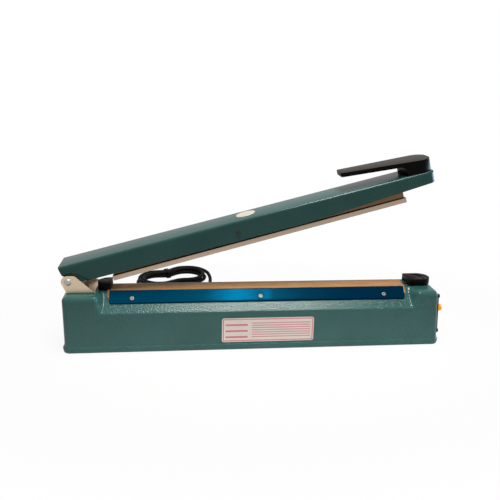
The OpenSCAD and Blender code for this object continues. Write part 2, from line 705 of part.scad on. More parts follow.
module hinge_end_cover() color(black) translate([hinge_cover_face, 0, base_top]) rotate([0, 0, 180])
    cover_shape(hinge_cover_len, hinge_cover_screw, max(0, tape_tuck));
module control_end_cover() color(black) translate([control_cover_face, 0, base_top])
    cover_shape(control_cover_len, control_cover_screw, 0);
module cover_screws() color(zinc) at_cover_screws() pan_screw(small_screw, cover_screw_len);

// End panel with the lamp and the timer
module end_panel() color(black) difference() {
    on_end() linear_extrude(panel_t) polygon(round_rect(panel_h, panel_w, panel_r));
    at_panel_screws() screw_hole(small_screw, panel_screw_len);
    at_lamp(-cut) cylinder(d = lens_neck + 2 * fit, h = panel_t + 2 * cut);
    at_timer(-cut) cylinder(d = pot_bush_d + 2 * fit, h = panel_t + 2 * cut);
}
module panel_screws() color(zinc) at_panel_screws() pan_screw(small_screw, panel_screw_len);
lens_neck = lens_d - 2;
lens_seat = 0.4;
lens_r = 3;
module lamp_lens() color([0.85, 0.48, 0.05]) at_lamp(0) union() {
    translate([0, 0, panel_t]) rotate_extrude() polygon(concat([[0, 0], [lens_d / 2, 0]],
        arc([lens_d / 2 - lens_r, lens_out - lens_r], lens_r, 0, 90), [[0, lens_out]]));
    translate([0, 0, lens_seat]) cylinder(d = lens_neck, h = panel_t);
}
holder_flange = [lens_d + 2, 3];
holder_body = [lens_d - 3, 20];
module lamp_holder() color([0.85, 0.85, 0.82]) at_lamp(0) rotate([180, 0, 0]) {
    cylinder(d = holder_flange[0], h = holder_flange[1]);
    cylinder(d = holder_body[0], h = holder_body[1]);
}
// Timer: a round body with a row of tags behind the wall, a threaded bush through the panel, and its nut
pot_body = [17, 12];
pot_tags = [14, 4, 6];
pot_tags_at = [-2, 6, -11.5];
pot_bush_d = shaft_d + 3;
pot_bush_out = 3;
pot_bore = 10;
module timer_pot() color([0.35, 0.36, 0.38]) at_timer(0) difference() {
    union() {
        translate([0, 0, -pot_body[1]]) cylinder(d = pot_body[0], h = pot_body[1]);
        translate([0, 0, -cut]) cylinder(d = pot_bush_d, h = cut + panel_t + knob_gap + pot_bush_out);
        translate(pot_tags_at) cube(pot_tags);
    }
    translate([0, 0, -pot_bore]) cylinder(d = shaft_d + 2 * run_fit, h = pot_bore + knob_tip);
}
nut_d = 13;
nut_t = 2;
module timer_nut() color(zinc) at_timer(panel_t) difference() {
    cylinder(d = nut_d, h = nut_t, $fn = 6);
    translate([0, 0, -cut]) cylinder(d = pot_bush_d + 2 * fit, h = nut_t + 2 * cut);
}
shaft_in = pot_bore - 0.5;
shaft_end = knob_tip - 3;
module timer_shaft() color(zinc) at_timer(-shaft_in) cylinder(d = shaft_d, h = shaft_in + shaft_end);
// Knob: a skirted grip with a hollow under it for the nut, ribs round the grip and a pointer
knob_grip_r = knob_d * 0.36;
knob_skirt = 3;
knob_rib_d = 2;
knob_rib_low = 1;
knob_hollow = [15, nut_t + 2];
knob_mark = [1.2, 0.8];
module timer_knob() color(black) at_timer(panel_t + knob_gap) difference() {
    union() {
        cylinder(d = knob_d, h = knob_skirt);
        cylinder(r = knob_grip_r, h = knob_h);
        for (a = [0:30:330]) rotate([0, 0, a]) translate([knob_grip_r, 0, 0])
            cylinder(d = knob_rib_d, h = knob_h - knob_rib_low);
    }
    translate([0, 0, -cut]) cylinder(d = knob_hollow[0], h = knob_hollow[1] + cut);
    translate([0, 0, -cut]) cylinder(d = shaft_d + 2 * fit, h = shaft_end - panel_t - knob_gap + cut);
    translate([-knob_grip_r, -knob_mark[0] / 2, knob_h - knob_mark[1]])
        cube([knob_grip_r, knob_mark[0], knob_mark[1] + cut]);
}

// Timer board on posts over the bottom plate
board = [64, 46, 1.6];
board_inset = 100;
board_x = right_x - board_inset;
board_post_h = 9;
board_post_d = 6;
board_post_inset = 5;
board_stud_past = 1.5;
board_z = plate_top + board_post_h;
module at_board_posts() for (a = [-1, 1], y = [-1, 1]) translate([board_x, 0, plate_top])
    translate([a * (board[0] / 2 - board_post_inset), y * (board[1] / 2 - board_post_inset), 0]) children();
module timer_board() color([0.1, 0.35, 0.2]) difference() {
    translate([board_x - board[0] / 2, -board[1] / 2, board_z]) cube(board);
    at_board_posts() cylinder(d = small_screw[0] + 2 * fit, h = 2 * board_z);
}
module board_posts() color(zinc) at_board_posts() {
    cylinder(d = board_post_d, h = board_post_h);
    translate([0, 0, -plate_t])
        cylinder(d = small_screw[0], h = plate_t + board_post_h + board[2] + board_stud_past);
}
// On the board: a relay and a connector as boxes, and two cans, each with its place and its size
relay = [[-8, -14, 0], [20, 16, 15]];
connector = [[-22, -8, 0], [8, 12, 10]];
large_can = [[-16, 12, 0], 10, 18];
small_can = [[16, 12, 0], 8, 12];
module board_parts() color([0.15, 0.2, 0.45]) translate([board_x, 0, board_z + board[2]]) {
    for (box = [relay, connector]) translate(box[0]) cube(box[1]);
    for (can = [large_can, small_can]) translate(can[0]) cylinder(d = can[1], h = can[2]);
}

// Transformer: laminated core with two windows, a coil on its middle leg and a strap frame
core_inset = 190;
core_x = right_x - core_inset;
leg_w = core_l / 3;
window_w = core_l / 6;
window_h = core_h - leg_w;
coil_gap = 0.2;
coil_out = window_w - 4 * coil_gap;
strap_foot = 17;
strap = [core_l + 2 * strap_foot, 14, 2];
core_z = plate_top + strap[2];
core_screw_inset = 7;
module transformer_core() color([0.3, 0.3, 0.32]) difference() {
    translate([core_x - core_l / 2, -core_t / 2, core_z]) cube([core_l, core_t, core_h]);
    for (s = [-1, 1])
        translate([core_x + s * (leg_w + window_w) / 2 - window_w / 2, -core_t, core_z + leg_w / 2])
            cube([window_w, 2 * core_t, window_h]);
}
module transformer_coil() color([0.75, 0.55, 0.2]) difference() {
    w = leg_w + 2 * coil_gap;
    t = core_t + 2 * coil_gap;
    translate([core_x - w / 2 - coil_out, -t / 2 - coil_out, core_z + leg_w / 2 + coil_gap])
        cube([w + 2 * coil_out, t + 2 * coil_out, window_h - 2 * coil_gap]);
    translate([core_x - w / 2, -t / 2, core_z]) cube([w, t, core_h]);
}
module at_core_screws() for (s = [-1, 1])
    translate([core_x + s * (strap[0] / 2 - core_screw_inset), 0, core_z]) children();
module transformer_frame() color(zinc) difference() {
    union() {
        translate([core_x - strap[0] / 2, -strap[1] / 2, plate_top]) cube(strap);
        for (s = [-1, 1])
            translate([core_x + s * (core_l + strap[2]) / 2 - strap[2] / 2, -strap[1] / 2, plate_top])
                cube([strap[2], strap[1], core_h + 2 * strap[2]]);
        translate([core_x - core_l / 2 - strap[2], -strap[1] / 2, core_z + core_h])
            cube([core_l + 2 * strap[2], strap[1], strap[2]]);
    }
    at_core_screws() screw_hole(large_screw, core_screw_len);
}
module transformer_screws() color(zinc) at_core_screws() pan_screw(large_screw, core_screw_len);

// Microswitch under the hinge block, on a bracket held by a hinge bracket screw, and the guided plunger
switch_plate = [34, 1.5, 30];
switch_flange = 14;
button_bore = 10;
module switch_bracket() color(zinc) difference() {
    translate([plunger_x - switch_plate[0] / 2, switch_size[1] / 2, base_top - wall_t]) {
        translate([0, 0, -switch_plate[2]]) cube(switch_plate);
        translate([0, 0, -switch_plate[1]]) cube([switch_plate[0], switch_flange, switch_plate[1]]);
    }
    at_bracket_screws() screw_hole(large_screw, bracket_screw_len);
}
module switch_body() color([0.12, 0.12, 0.14]) difference() {
    translate([plunger_x - switch_size[0] / 2, -switch_size[1] / 2, switch_top - switch_size[2]])
        cube(switch_size);
    translate([plunger_x, 0, switch_top - button_bore])
        cylinder(d = button_d + 2 * run_fit, h = button_bore + cut);
}
guide_low = base_top - 5;
guide_high = bracket_top + guide_flange[1];
module plunger_guide() color(brass_tone) translate([plunger_x, 0, 0]) difference() {
    union() {
        translate([0, 0, guide_low]) cylinder(r = guide_r, h = bracket_top - guide_low);
        translate([0, 0, bracket_top]) cylinder(r = guide_flange[0], h = guide_flange[1]);
    }
    translate([0, 0, guide_low - cut])
        cylinder(d = plunger_d + 2 * run_fit, h = guide_high - guide_low + 2 * cut);
}
plunger_shoulder = switch_top + plunger_stroke + 1.5;
button_low = switch_top - 2;
button_lap = 0.5;
module switch_plunger() color([0.85, 0.85, 0.83]) translate([plunger_x, 0, 0]) {
    translate([0, 0, plunger_shoulder]) cylinder(d = plunger_d, h = plunger_top - plunger_shoulder);
    translate([0, 0, button_low]) cylinder(d = button_d, h = plunger_shoulder - button_low + button_lap);
}

// Mains lead: a tapered gland, the lead to the hank, the tied hank, and the tail with its plug
module cord_gland() color(black) translate([gland_x, half_d, gland_z]) rotate([-90, 0, 0]) union() {
    cylinder(d = gland_flange[0], h = gland_flange[1]);
    cylinder(d1 = gland_taper[0], d2 = gland_taper[1], h = gland_len);
    translate([0, 0, -wall_t]) cylinder(d = gland_hole - 2 * fit, h = wall_t + cut);
    translate([0, 0, -wall_t - gland_back[1]]) cylinder(d = gland_back[0], h = gland_back[1]);
}
// Place on the hank after f of a turn, from the tip at the gland's side, drawn in by e
function hank_xy(f, e) =
    let (q = hank_quarter, r = hank_r - e,
         far = f < 0.5, h = far ? f : f - 0.5, s = far ? 1 : -1,
         run = (h - q) / (0.5 - 2 * q), x = -hank_run + 2 * hank_run * run,
         a = h < q ? 180 - 90 * h / q : 90 - 90 * (h - 0.5 + q) / q,
         bend = h < q || h > 0.5 - q,
         p = bend ? [(h < q ? -hank_run : hank_run) + r * cos(a), r * sin(a)]
                  : [x, r - hank_pinch * (1 + cos(180 * x / hank_run)) / 2])
    s * p;
function hank_point(t) =
    let (e = loop_step * min(t, hank_turns - t), climb = (t - (hank_turns - 0.5) / 2) / 0.5,
         c = min(max(climb, 0), 1), p = hank_xy(t - floor(t), e), h = hank_turn)
    [hank_at[0] + p[0] * cos(h) - p[1] * sin(h), hank_at[1] + p[0] * sin(h) + p[1] * cos(h),
     cord_z + layer_step * c * c * (3 - 2 * c)];
hank_out = [-sin(hank_turn), cos(hank_turn), 0];
hank_steps = round(hank_turns * rings_per_loop);
hank_loops = [for (i = [0:hank_steps]) hank_point(hank_turns * i / hank_steps)];
hank_start = hank_loops[0] - cord_d * hank_out;
hank_end = hank_loops[hank_steps] - cord_d * hank_out;
hank_path = concat([hank_start], hank_loops, [hank_end]);
hank_gap = min([for (i = [0:len(hank_path) - 1], j = [i + 5:1:len(hank_path) - 1])
    norm(hank_path[i] - hank_path[j])]) - cord_d;
gland_end = [gland_x, half_d + gland_len, gland_z];
// Straight ends of the lead and the tail where they meet the hank
lead_straight = 1.2 * cord_d;
tail_straight = 0.9 * cord_d;
lead_path = concat([gland_end], lead_points, [hank_start - lead_straight * hank_out, hank_start]);
tail_path = concat([hank_end, hank_end - tail_straight * hank_out], tail_points, [plug_at]);
function path_len(p) = let (steps = [for (i = [1:len(p) - 1]) norm(p[i] - p[i - 1])])
    steps * [for (s = steps) 1];
module cord_lead() color(black) tube(lead_path, cord_d, 10, [0, 0, 1]);
module cord_hank() color(black) tube(hank_path, cord_d, 6, [0, 0, 1]);
module cord_tail() color(black) tube(tail_path, cord_d, 10, [0, 0, 1]);
// Tie: a flat band round the strands of the hank's far run
tie_t = 0.7;
tie_w = 7;
tie_side_gap = 0.6;
tie_top_gap = 0.3;
tied_steps = 1.5;
module cord_tie() color([0.12, 0.12, 0.12]) {
    far = hank_r - hank_pinch + cord_d / 2 + tie_side_gap;
    near = hank_r - hank_pinch - loop_step * tied_steps - cord_d / 2 - tie_side_gap;
    high = cord_z + layer_step + cord_d / 2 + tie_top_gap;
    translate([hank_at[0], hank_at[1], 0]) rotate([0, 0, hank_turn]) difference() {
        translate([-tie_w / 2, near - tie_t, 0]) cube([tie_w, far - near + 2 * tie_t, high + tie_t]);
        translate([-tie_w, near, tie_t]) cube([2 * tie_w, far - near, high - tie_t]);
    }
}
// Plug: a moulded body whose rear end takes the lead, with two round pins
plug_neck = cord_d * 0.8;
plug_shoulder_r = 6;
plug_shoulder_y = -plug_size[1] * 0.45;
plug_corner_r = 3;
plug_pin_in = 4;
module plug_body() color(black) translate(plug_at) difference() {
    half = plug_size[0] / 2;
    corner_y = -plug_size[1] + plug_corner_r;
    translate([0, 0, -plug_size[2] / 2]) linear_extrude(plug_size[2]) polygon(concat(
        [[plug_neck, 0], [-plug_neck, 0]],
        arc([-half + plug_shoulder_r, plug_shoulder_y], plug_shoulder_r, 120, 180),
        arc([-half + plug_corner_r, corner_y], plug_corner_r, 180, 270),
        arc([half - plug_corner_r, corner_y], plug_corner_r, 270, 360),
        arc([half - plug_shoulder_r, plug_shoulder_y], plug_shoulder_r, 0, 60)));
    at_plug_pins() cylinder(d = plug_pin[0] + 2 * fit, h = 2 * plug_pin_in, center = true);
}
module at_plug_pins() for (s = [-1, 1])
    translate([s * plug_pin[2] / 2, -plug_size[1], 0]) rotate([90, 0, 0]) children();
module plug_pins() color(brass_tone) translate(plug_at) at_plug_pins()
    translate([0, 0, -plug_pin_in]) cylinder(d = plug_pin[0], h = plug_pin[1] + plug_pin_in);

// Press arm: a folded channel with an end wall, pressed in round the bracket's ears
tip_low = taper_rise - arm_drop;
pin_wall = ear_r - 1;
back_turn = 122;
back_step = 2;
function arm_side() = concat(
    [[-arm_back, arm_top], pin_wall * [cos(back_turn), sin(back_turn)] + [0, back_step]],
    arc([0, 0], pin_wall, back_turn, 180 + asin(arm_drop / pin_wall), 8),
    [[taper_start, -arm_drop], [arm_len, tip_low], [arm_len, arm_top]]);
function arm_section(g) =
    let (h = arm_w / 2 - g, c = arm_top - arm_fold_r, r = arm_fold_r - g)
    concat([[-h, -2 * arm_top], [h, -2 * arm_top]],
           arc([h - r, c], r, 0, 90), arc([-h + r, c], r, 90, 180));
function arm_plan(g) =
    let (h = arm_w / 2 - g, r = arm_tip_r - g, l = arm_len - g)
    concat([[-2 * arm_back, h], [-2 * arm_back, -h]],
           arc([l - r, -h + r], r, 270, 360), arc([l - r, h - r], r, 0, 90));
module arm_solid(g) intersection() {
    along(-2 * arm_back, arm_len + cut) polygon(arm_section(g));
    translate([0, 0, -2 * arm_top]) linear_extrude(4 * arm_top) polygon(arm_plan(g));
}
module arm_recess(g, y0, y1) for (s = [-1, 1])
    across(s > 0 ? y0 : -y1, s > 0 ? y1 : -y0) polygon(ear_outline(recess_margin + g));
module press_arm() color(teal) on_arm() difference() {
    intersection() {
        union() {
            difference() {
                arm_solid(0);
                arm_solid(arm_t);
                arm_recess(0, wall_in + arm_t, arm_w);
            }
            difference() {
                arm_recess(arm_t, wall_in, arm_w / 2);
                arm_recess(0, wall_in + arm_t, arm_w);
            }
        }
        across(-arm_w, arm_w) polygon(arm_side());
    }
    rotate([90, 0, 0]) cylinder(d = pin_d + 2 * run_fit, h = 2 * arm_w, center = true);
    translate([bar_pin_u, 0, bar_pin_w]) rotate([90, 0, 0])
        cylinder(d = bar_pin_d + 2 * fit, h = 2 * arm_w, center = true);
    at_handle_screws() screw_hole(large_screw, handle_screw_len);
}

// Handle: a grip that widens to the arm's tip, over a finger gap, on a post held by two screws
function handle_plan() =
    let (f = grip_w / 2, c = handle_w / 2, r = grip_r, q = handle_r)
    concat(arc([handle_start + r, -f + r], r, 180, 270), arc([handle_end - q, -c + q], q, 270, 360),
           arc([handle_end - q, c - q], q, 0, 90), arc([handle_start + r, f - r], r, 90, 180));
function handle_side() =
    let (lean = atan2(grip_high - grip_low, handle_len), post = handle_end - post_len,
         grip_under = grip_high - grip_t, inner_u = post - slot_r,
         inner_w = grip_under - (inner_u - handle_start) * tan(lean) - slot_r)
    concat([[handle_start, grip_under], [handle_start, grip_high], [handle_end, grip_low],
            [handle_end, 0], [post, 0]], arc([inner_u, inner_w], slot_r, 0, 90 - lean));
module handle() color(black) on_arm() translate([0, 0, arm_top]) difference() {
    intersection() {
        across(-handle_w, handle_w) polygon(handle_side());
        translate([0, 0, -cut]) linear_extrude(grip_high + 2 * cut) polygon(handle_plan());
    }
    translate([0, 0, -arm_top]) at_handle_screws() screw_hole(large_screw, handle_screw_len);
}
module at_handle_screws() for (u = handle_screw_u)
    translate([u, 0, arm_top - arm_t]) rotate([180, 0, 0]) children();
module handle_screws() color(zinc) on_arm() at_handle_screws() pan_screw(large_screw, handle_screw_len);

// Cross pin that carries the pressure bar, with its spacers
rivet = [5.8, 1.2];
module bar_pin() color(zinc) on_arm() translate([bar_pin_u, 0, bar_pin_w]) rotate([90, 0, 0]) union() {
    cylinder(d = bar_pin_d, h = arm_w, center = true);
    for (s = [0, 180]) rotate([s, 0, 0]) translate([0, 0, arm_w / 2]) cylinder(d = rivet[0], h = rivet[1]);
}
lug_t = web_t + 2;
spacer_gap = 0.15;
spacer_d = bar_pin_d + 4;
spacer_in = lug_t / 2 + spacer_gap;
module bar_spacers() color(zinc) on_arm() translate([bar_pin_u, 0, bar_pin_w])
    for (turn = [-90, 90]) rotate([turn, 0, 0]) translate([0, 0, spacer_in]) difference() {
        cylinder(d = spacer_d, h = arm_w / 2 - arm_t - spacer_in);
        translate([0, 0, -cut]) cylinder(d = bar_pin_d + 2 * fit, h = arm_w);
    }

// Cross tab inside the arm with the set screw that pushes the switch plunger
tab_len = 14;
module switch_tab() color(zinc) on_arm() difference() {
    translate([set_u - tab_len / 2, -wall_in, tab_w]) cube([tab_len, 2 * wall_in, tab_t]);
    translate([set_u, 0, tab_w - cut]) cylinder(r = set_r + fit, h = tab_t + 2 * cut);
}
set_nut = [7, 2.6];
set_len = 12;
module switch_screw() color(zinc) on_arm() translate([set_u, 0, 0]) {
    translate([0, 0, set_w]) sphere(r = set_r);
    translate([0, 0, set_w]) cylinder(r = set_r, h = set_len);
    translate([0, 0, tab_w + tab_t]) difference() {
        cylinder(d = set_nut[0], h = set_nut[1], $fn = 6);
        translate([0, 0, -cut]) cylinder(r = set_r + fit, h = set_nut[1] + 2 * cut);
    }
}

// Pressure bar: an inverted T with a lug on the cross pin and a grooved foot for the silicone strip
bar_foot_low = -bar_face + silicone_out;
web_top = 2;
web_inset = 1.5;
lug_len = 22;
lug_r = 6;
module pressure_bar() color([0.78, 0.74, 0.68]) on_bar() difference() {
    union() {
        translate([bar_u, -bar_w / 2, bar_foot_low]) cube([bar_len, bar_w, bar_foot_h]);
        translate([bar_u + web_inset, -web_t / 2, bar_foot_low + bar_foot_h / 2])
            cube([bar_len - 2 * web_inset, web_t, web_top - bar_foot_low - bar_foot_h / 2]);
        translate([bar_pin_u - lug_len / 2, -lug_t / 2, bar_foot_low + bar_foot_h / 2])
            cube([lug_len, lug_t, bar_pin_w - bar_foot_low - bar_foot_h / 2]);
        translate([bar_pin_u, 0, bar_pin_w]) rotate([90, 0, 0])
            cylinder(r = lug_r, h = lug_t, center = true);
    }
    translate([bar_u - cut, -silicone_w / 2, bar_foot_low - cut])
        cube([bar_len + 2 * cut, silicone_w, silicone_groove + cut]);
    translate([bar_pin_u, 0, bar_pin_w]) rotate([90, 0, 0])
        cylinder(d = bar_pin_d + 2 * run_fit, h = 2 * lug_t, center = true);
}
module silicone_strip() color([0.85, 0.84, 0.8]) on_bar()
    translate([bar_u, -silicone_w / 2, bar_foot_low - silicone_out])
        cube([bar_len, silicone_w, silicone_groove + silicone_out]);

echo(hank_least_gap = hank_gap, lead_length = path_len(lead_path), hank_length = path_len(hank_path),
     tail_length = path_len(tail_path));
spring_gap = min([for (i = [0:len(spring_path) - 1], j = [i + 5:1:len(spring_path) - 1])
    norm(spring_path[i] - spring_path[j])]) - spring_wire;
echo(spring_least_gap = spring_gap);

in_frame() base_housing();
in_frame() bottom_plate();
in_frame() bottom_screws();
in_frame() rubber_feet();
in_frame() hinge_bracket();
in_frame() bracket_screws();
in_frame() hinge_pin();
in_frame() pin_clip();
in_frame() return_spring();
in_frame() element_bed();
in_frame() heating_element();
in_frame() element_terminals();
in_frame() terminal_screws();
in_frame() sealing_tape();
in_frame() clamp_strip();
in_frame() strip_screws();
in_frame() hinge_end_cover();
in_frame() control_end_cover();
in_frame() cover_screws();
in_frame() end_panel();
in_frame() panel_screws();
in_frame() lamp_lens();
in_frame() lamp_holder();
in_frame() timer_pot();
in_frame() timer_nut();
in_frame() timer_board();
in_frame() board_posts();
in_frame() board_parts();
in_frame() transformer_core();
in_frame() transformer_coil();
in_frame() transformer_frame();
in_frame() transformer_screws();
in_frame() switch_bracket();
in_frame() switch_body();
in_frame() plunger_guide();
in_frame() cord_gland();
in_frame() cord_lead();
in_frame() cord_hank();
in_frame() cord_tie();
in_frame() cord_tail();
in_frame() plug_body();
in_frame() plug_pins();
in_frame() press_arm();
in_frame() handle();
in_frame() handle_screws();
in_frame() bar_pin();
in_frame() bar_spacers();
in_frame() switch_tab();
in_frame() switch_screw();
in_frame() pressure_bar();
in_frame() silicone_strip();
in_frame() switch_plunger();
in_frame() timer_shaft();
in_frame() timer_knob();
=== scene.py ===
import math

import bmesh
import bpy
from mathutils import Matrix, Vector


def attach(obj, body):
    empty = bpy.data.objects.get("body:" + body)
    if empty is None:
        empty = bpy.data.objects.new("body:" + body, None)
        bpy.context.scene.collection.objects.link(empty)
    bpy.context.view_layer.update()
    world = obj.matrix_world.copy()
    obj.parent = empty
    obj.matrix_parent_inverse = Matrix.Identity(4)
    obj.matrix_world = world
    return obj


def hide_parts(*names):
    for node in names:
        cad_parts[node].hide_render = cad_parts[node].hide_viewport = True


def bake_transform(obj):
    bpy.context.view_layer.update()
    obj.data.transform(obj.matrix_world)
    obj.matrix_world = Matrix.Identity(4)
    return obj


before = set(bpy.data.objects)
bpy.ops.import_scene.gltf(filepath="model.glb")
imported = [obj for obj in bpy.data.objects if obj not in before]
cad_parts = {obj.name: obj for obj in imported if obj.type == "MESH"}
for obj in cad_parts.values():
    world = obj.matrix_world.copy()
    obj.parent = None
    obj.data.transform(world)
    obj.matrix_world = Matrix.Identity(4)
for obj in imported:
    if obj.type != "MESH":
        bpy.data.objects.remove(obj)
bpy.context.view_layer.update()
scene = bpy.context.scene

# Studio: the camera stands left of the middle and looks down on the sealer by seventeen degrees. The white
# floor lies under one large soft lamp, with a faint lamp in front and a bluish one beyond the right end.
mm = 0.001
# The base's own middle lies this far along x from the frame's origin, in millimetres
base_shift = -5.0323


def place(x, y, z):
    return Vector(((x + base_shift) * mm, y * mm, z * mm))


def add_object(name, data):
    made = bpy.data.objects.new(name, data)
    scene.collection.objects.link(made)
    return made


image_px = 500
focal_px = 600.0
look_down = math.radians(16.939)
look_right = math.radians(6.307)
roll = math.radians(-1.312)
distance = 848.481
forward = Vector((math.sin(look_right) * math.cos(look_down), math.cos(look_right) * math.cos(look_down),
                  -math.sin(look_down)))
level_right = Vector((math.cos(look_right), -math.sin(look_right), 0))
level_down = forward.cross(level_right)
right = math.cos(roll) * level_right + math.sin(roll) * level_down
down = -math.sin(roll) * level_right + math.cos(roll) * level_down
stand = place(-8.057, 0, 134.052) - distance * mm * forward
camera = add_object("camera", bpy.data.cameras.new("camera"))
camera.data.sensor_width = 36
camera.data.lens = focal_px * camera.data.sensor_width / image_px
axes = Matrix((right, -down, -forward)).transposed()
camera.matrix_world = Matrix.Translation(stand) @ axes.to_4x4()
scene.camera = camera
scene.view_settings.view_transform = "Standard"


class Shade:
    """A socket among a material's nodes that takes part in plain arithmetic."""

    def __init__(self, tree, socket=None):
        self.tree = tree
        self.socket = socket

    def feed(self, target, value):
        if isinstance(value, Shade):
            self.tree.links.new(value.socket, target)
        else:
            target.default_value = value

    def node(self, kind, settings=None, sockets=None, out=0):
        made = self.tree.nodes.new("ShaderNode" + kind)
        for key, value in (settings or {}).items():
            setattr(made, key, value)
        for key, value in (sockets or {}).items():
            self.feed(made.inputs[key], value)
        return Shade(self.tree, made.outputs[out])

    def math(self, operation, a, b=0.0):
        return self.node("Math", {"operation": operation}, {0: a, 1: b})

    def __add__(self, other):
        return self.math("ADD", self, other)

    def __radd__(self, other):
        return self.math("ADD", other, self)

    def __sub__(self, other):
        return self.math("SUBTRACT", self, other)

    def __rsub__(self, other):
        return self.math("SUBTRACT", other, self)

    def __mul__(self, other):
        return self.math("MULTIPLY", self, other)

    def __rmul__(self, other):
        return self.math("MULTIPLY", other, self)

    def __gt__(self, other):
        return self.math("GREATER_THAN", self, other)

    def __lt__(self, other):
        return self.math("LESS_THAN", self, other)

    def __abs__(self):
        return self.math("ABSOLUTE", self)

    def mix(self, first, second):
        settings = {"data_type": "RGBA"}
        return self.node("Mix", settings, {0: self, 6: first, 7: second}, out=2)


glossy_share = 0.65


def seen_rays(nodes):
    """One where the camera sees the surface, straight or through glass, and a share in reflections."""
    straight = nodes.node("LightPath", out="Is Camera Ray")
    glossy = nodes.node("LightPath", out="Is Glossy Ray")
    through = nodes.node("LightPath", out="Is Transmission Ray")
    return nodes.math("MINIMUM", straight + glossy * glossy_share + through, 1.0)


white = (1, 1, 1, 1)
fill_level = 0.06
world = bpy.data.worlds.new("studio")
scene.world = world
world.use_nodes = True
sky = Shade(world.node_tree)
backdrop = world.node_tree.nodes["Background"]
backdrop.inputs["Color"].default_value = white
sky.feed(backdrop.inputs["Strength"], fill_level + seen_rays(sky) * (1 - fill_level))


def place_on(nodes):
    return nodes.node("TexCoord", out="Object")


def stretched(nodes, at, factors):
    return nodes.node("VectorMath", {"operation": "MULTIPLY"}, {0: at, 1: factors})


def soft_step(nodes, value, start, end):
    """Rises softly from nothing at the start to one at the end."""
    settings = {"interpolation_type": "SMOOTHSTEP"}
    return nodes.node("MapRange", settings, {"Value": value, "From Min": start, "From Max": end})


floor_half = 3.0
floor_mesh = bpy.data.meshes.new("floor")
floor_mesh.from_pydata([(-floor_half, -floor_half, 0), (floor_half, -floor_half, 0),
                        (floor_half, floor_half, 0), (-floor_half, floor_half, 0)], [], [(0, 1, 2, 3)])
floor = add_object("floor", floor_mesh)
floor_paint = bpy.data.materials.new("floor_white")
floor_paint.use_nodes = True
near_grey = (0.88, 0.88, 0.88, 1)
far_grey = (0.15, 0.15, 0.15, 1)
near_white = 0.93
near_reach = 0.12
far_reach = 0.42
oval_shape = (0.6, 1, 1)
nodes = Shade(floor_paint.node_tree)
oval = stretched(nodes, place_on(nodes), oval_shape)
reach = nodes.node("VectorMath", {"operation": "LENGTH"}, {0: oval}, out="Value")
far = soft_step(nodes, reach, near_reach, far_reach)
lit = nodes.node("BsdfDiffuse", None, {"Color": far.mix(near_grey, far_grey)})
glow = nodes.node("Emission", None, {"Color": white, "Strength": 1.0})
white_share = near_white + far * (1 - near_white)
ground = nodes.node("MixShader", None, {0: seen_rays(nodes) * white_share, 1: lit, 2: glow})
nodes.feed(floor_paint.node_tree.nodes["Material Output"].inputs["Surface"], ground)
floor_mesh.materials.append(floor_paint)


def add_lamp(name, at, aim, size, watts, colour):
    lamp = add_object(name, bpy.data.lights.new(name, "AREA"))
    lamp.data.shape = "RECTANGLE"
    lamp.data.size = size[0]
    lamp.data.size_y = size[1]
    lamp.data.energy = watts
    lamp.data.color = colour
    lamp.location = at
    lamp.rotation_euler = (Vector(aim) - Vector(at)).to_track_quat("-Z", "Y").to_euler()


add_lamp("lamp_above", (0.07, -0.22, 1.3), (0, 0, 0.1), (0.32, 0.9), 19.2, (1, 0.98, 0.95))
add_lamp("lamp_front", (-0.7, -1.3, 0.75), (0, 0, 0.1), (0.7, 0.7), 0.3, (1, 0.97, 0.93))
add_lamp("lamp_right", (1.05, 0.2, 0.15), (0.24, 0, 0.2), (0.9, 0.22), 5.0, (0.58, 0.78, 1))

# Mains lead: a round black rubber sheath about 6 mm thick. It leaves the gland in the rear wall, sinks
# to the table and is folded into a tied hank of three and a half turns that ends in the plug.
lead_d = 6.2
gland_end = Vector((-150, 68, 19.8))
lead_points = [(-150, 80, 19.2), (-150, 94, 16.2), (-150, 108, 11.6), (-150, 122, 7), (-149.5, 135, 4.5),
               (-150, 148, 4), (-152.5, 160, 4), (-157, 172.5, 4), (-163, 185, 4), (-170, 196, 4)]
tail_points = [(-56.5, 253, 9.4), (-55, 244, 8), (-54.5, 235.5, 6.6), (-55, 227, 5.4), (-56, 218, 4.8),
               (-57.5, 208, 5), (-58, 198, 6.2), (-58, 187, 7.5)]
plug_at = Vector((-58, 178, 8))
cord_z = 4.0
layer_step = 6.8
loop_step = 7.0
hank_middle = Vector((-123, 245, 0))
hank_turn = math.radians(24)
hank_turns = 3.5
climb_turns = 0.5
hank_run = 27
hank_r = 38
hank_pinch = 7
bend_share = 0.134
rings_per_loop = 24
straight_in = 1.2 * lead_d
straight_out = 0.9 * lead_d


def limited(share):
    return min(max(share, 0), 1)


def eased(share):
    """A share between none and all, with a soft start and end."""
    share = limited(share)
    return share * share * (3 - 2 * share)


def hank_outline(turn, inset):
    """A place on the hank's round-ended loop, after a part of one turn."""
    radius = hank_r - inset
    side = 1 if turn < 0.5 else -1
    half = turn if turn < 0.5 else turn - 0.5
    if half < bend_share:
        angle = math.radians(180 - 90 * half / bend_share)
        at = (-hank_run + radius * math.cos(angle), radius * math.sin(angle))
    elif half > 0.5 - bend_share:
        angle = math.radians(90 - 90 * (half - 0.5 + bend_share) / bend_share)
        at = (hank_run + radius * math.cos(angle), radius * math.sin(angle))
    else:
        along = -hank_run + 2 * hank_run * (half - bend_share) / (0.5 - 2 * bend_share)
        at = (along, radius - hank_pinch * (1 + math.cos(math.pi * along / hank_run)) / 2)
    return side * at[0], side * at[1]


def turned(x, y):
    c = math.cos(hank_turn)
    s = math.sin(hank_turn)
    return hank_middle + Vector((x * c - y * s, x * s + y * c, 0))


def hank_point(t):
    inset = loop_step * min(t, hank_turns - t)
    at = turned(*hank_outline(t - math.floor(t), inset))
    at.z = cord_z + layer_step * eased((t - (hank_turns - climb_turns) / 2) / climb_turns)
    return at


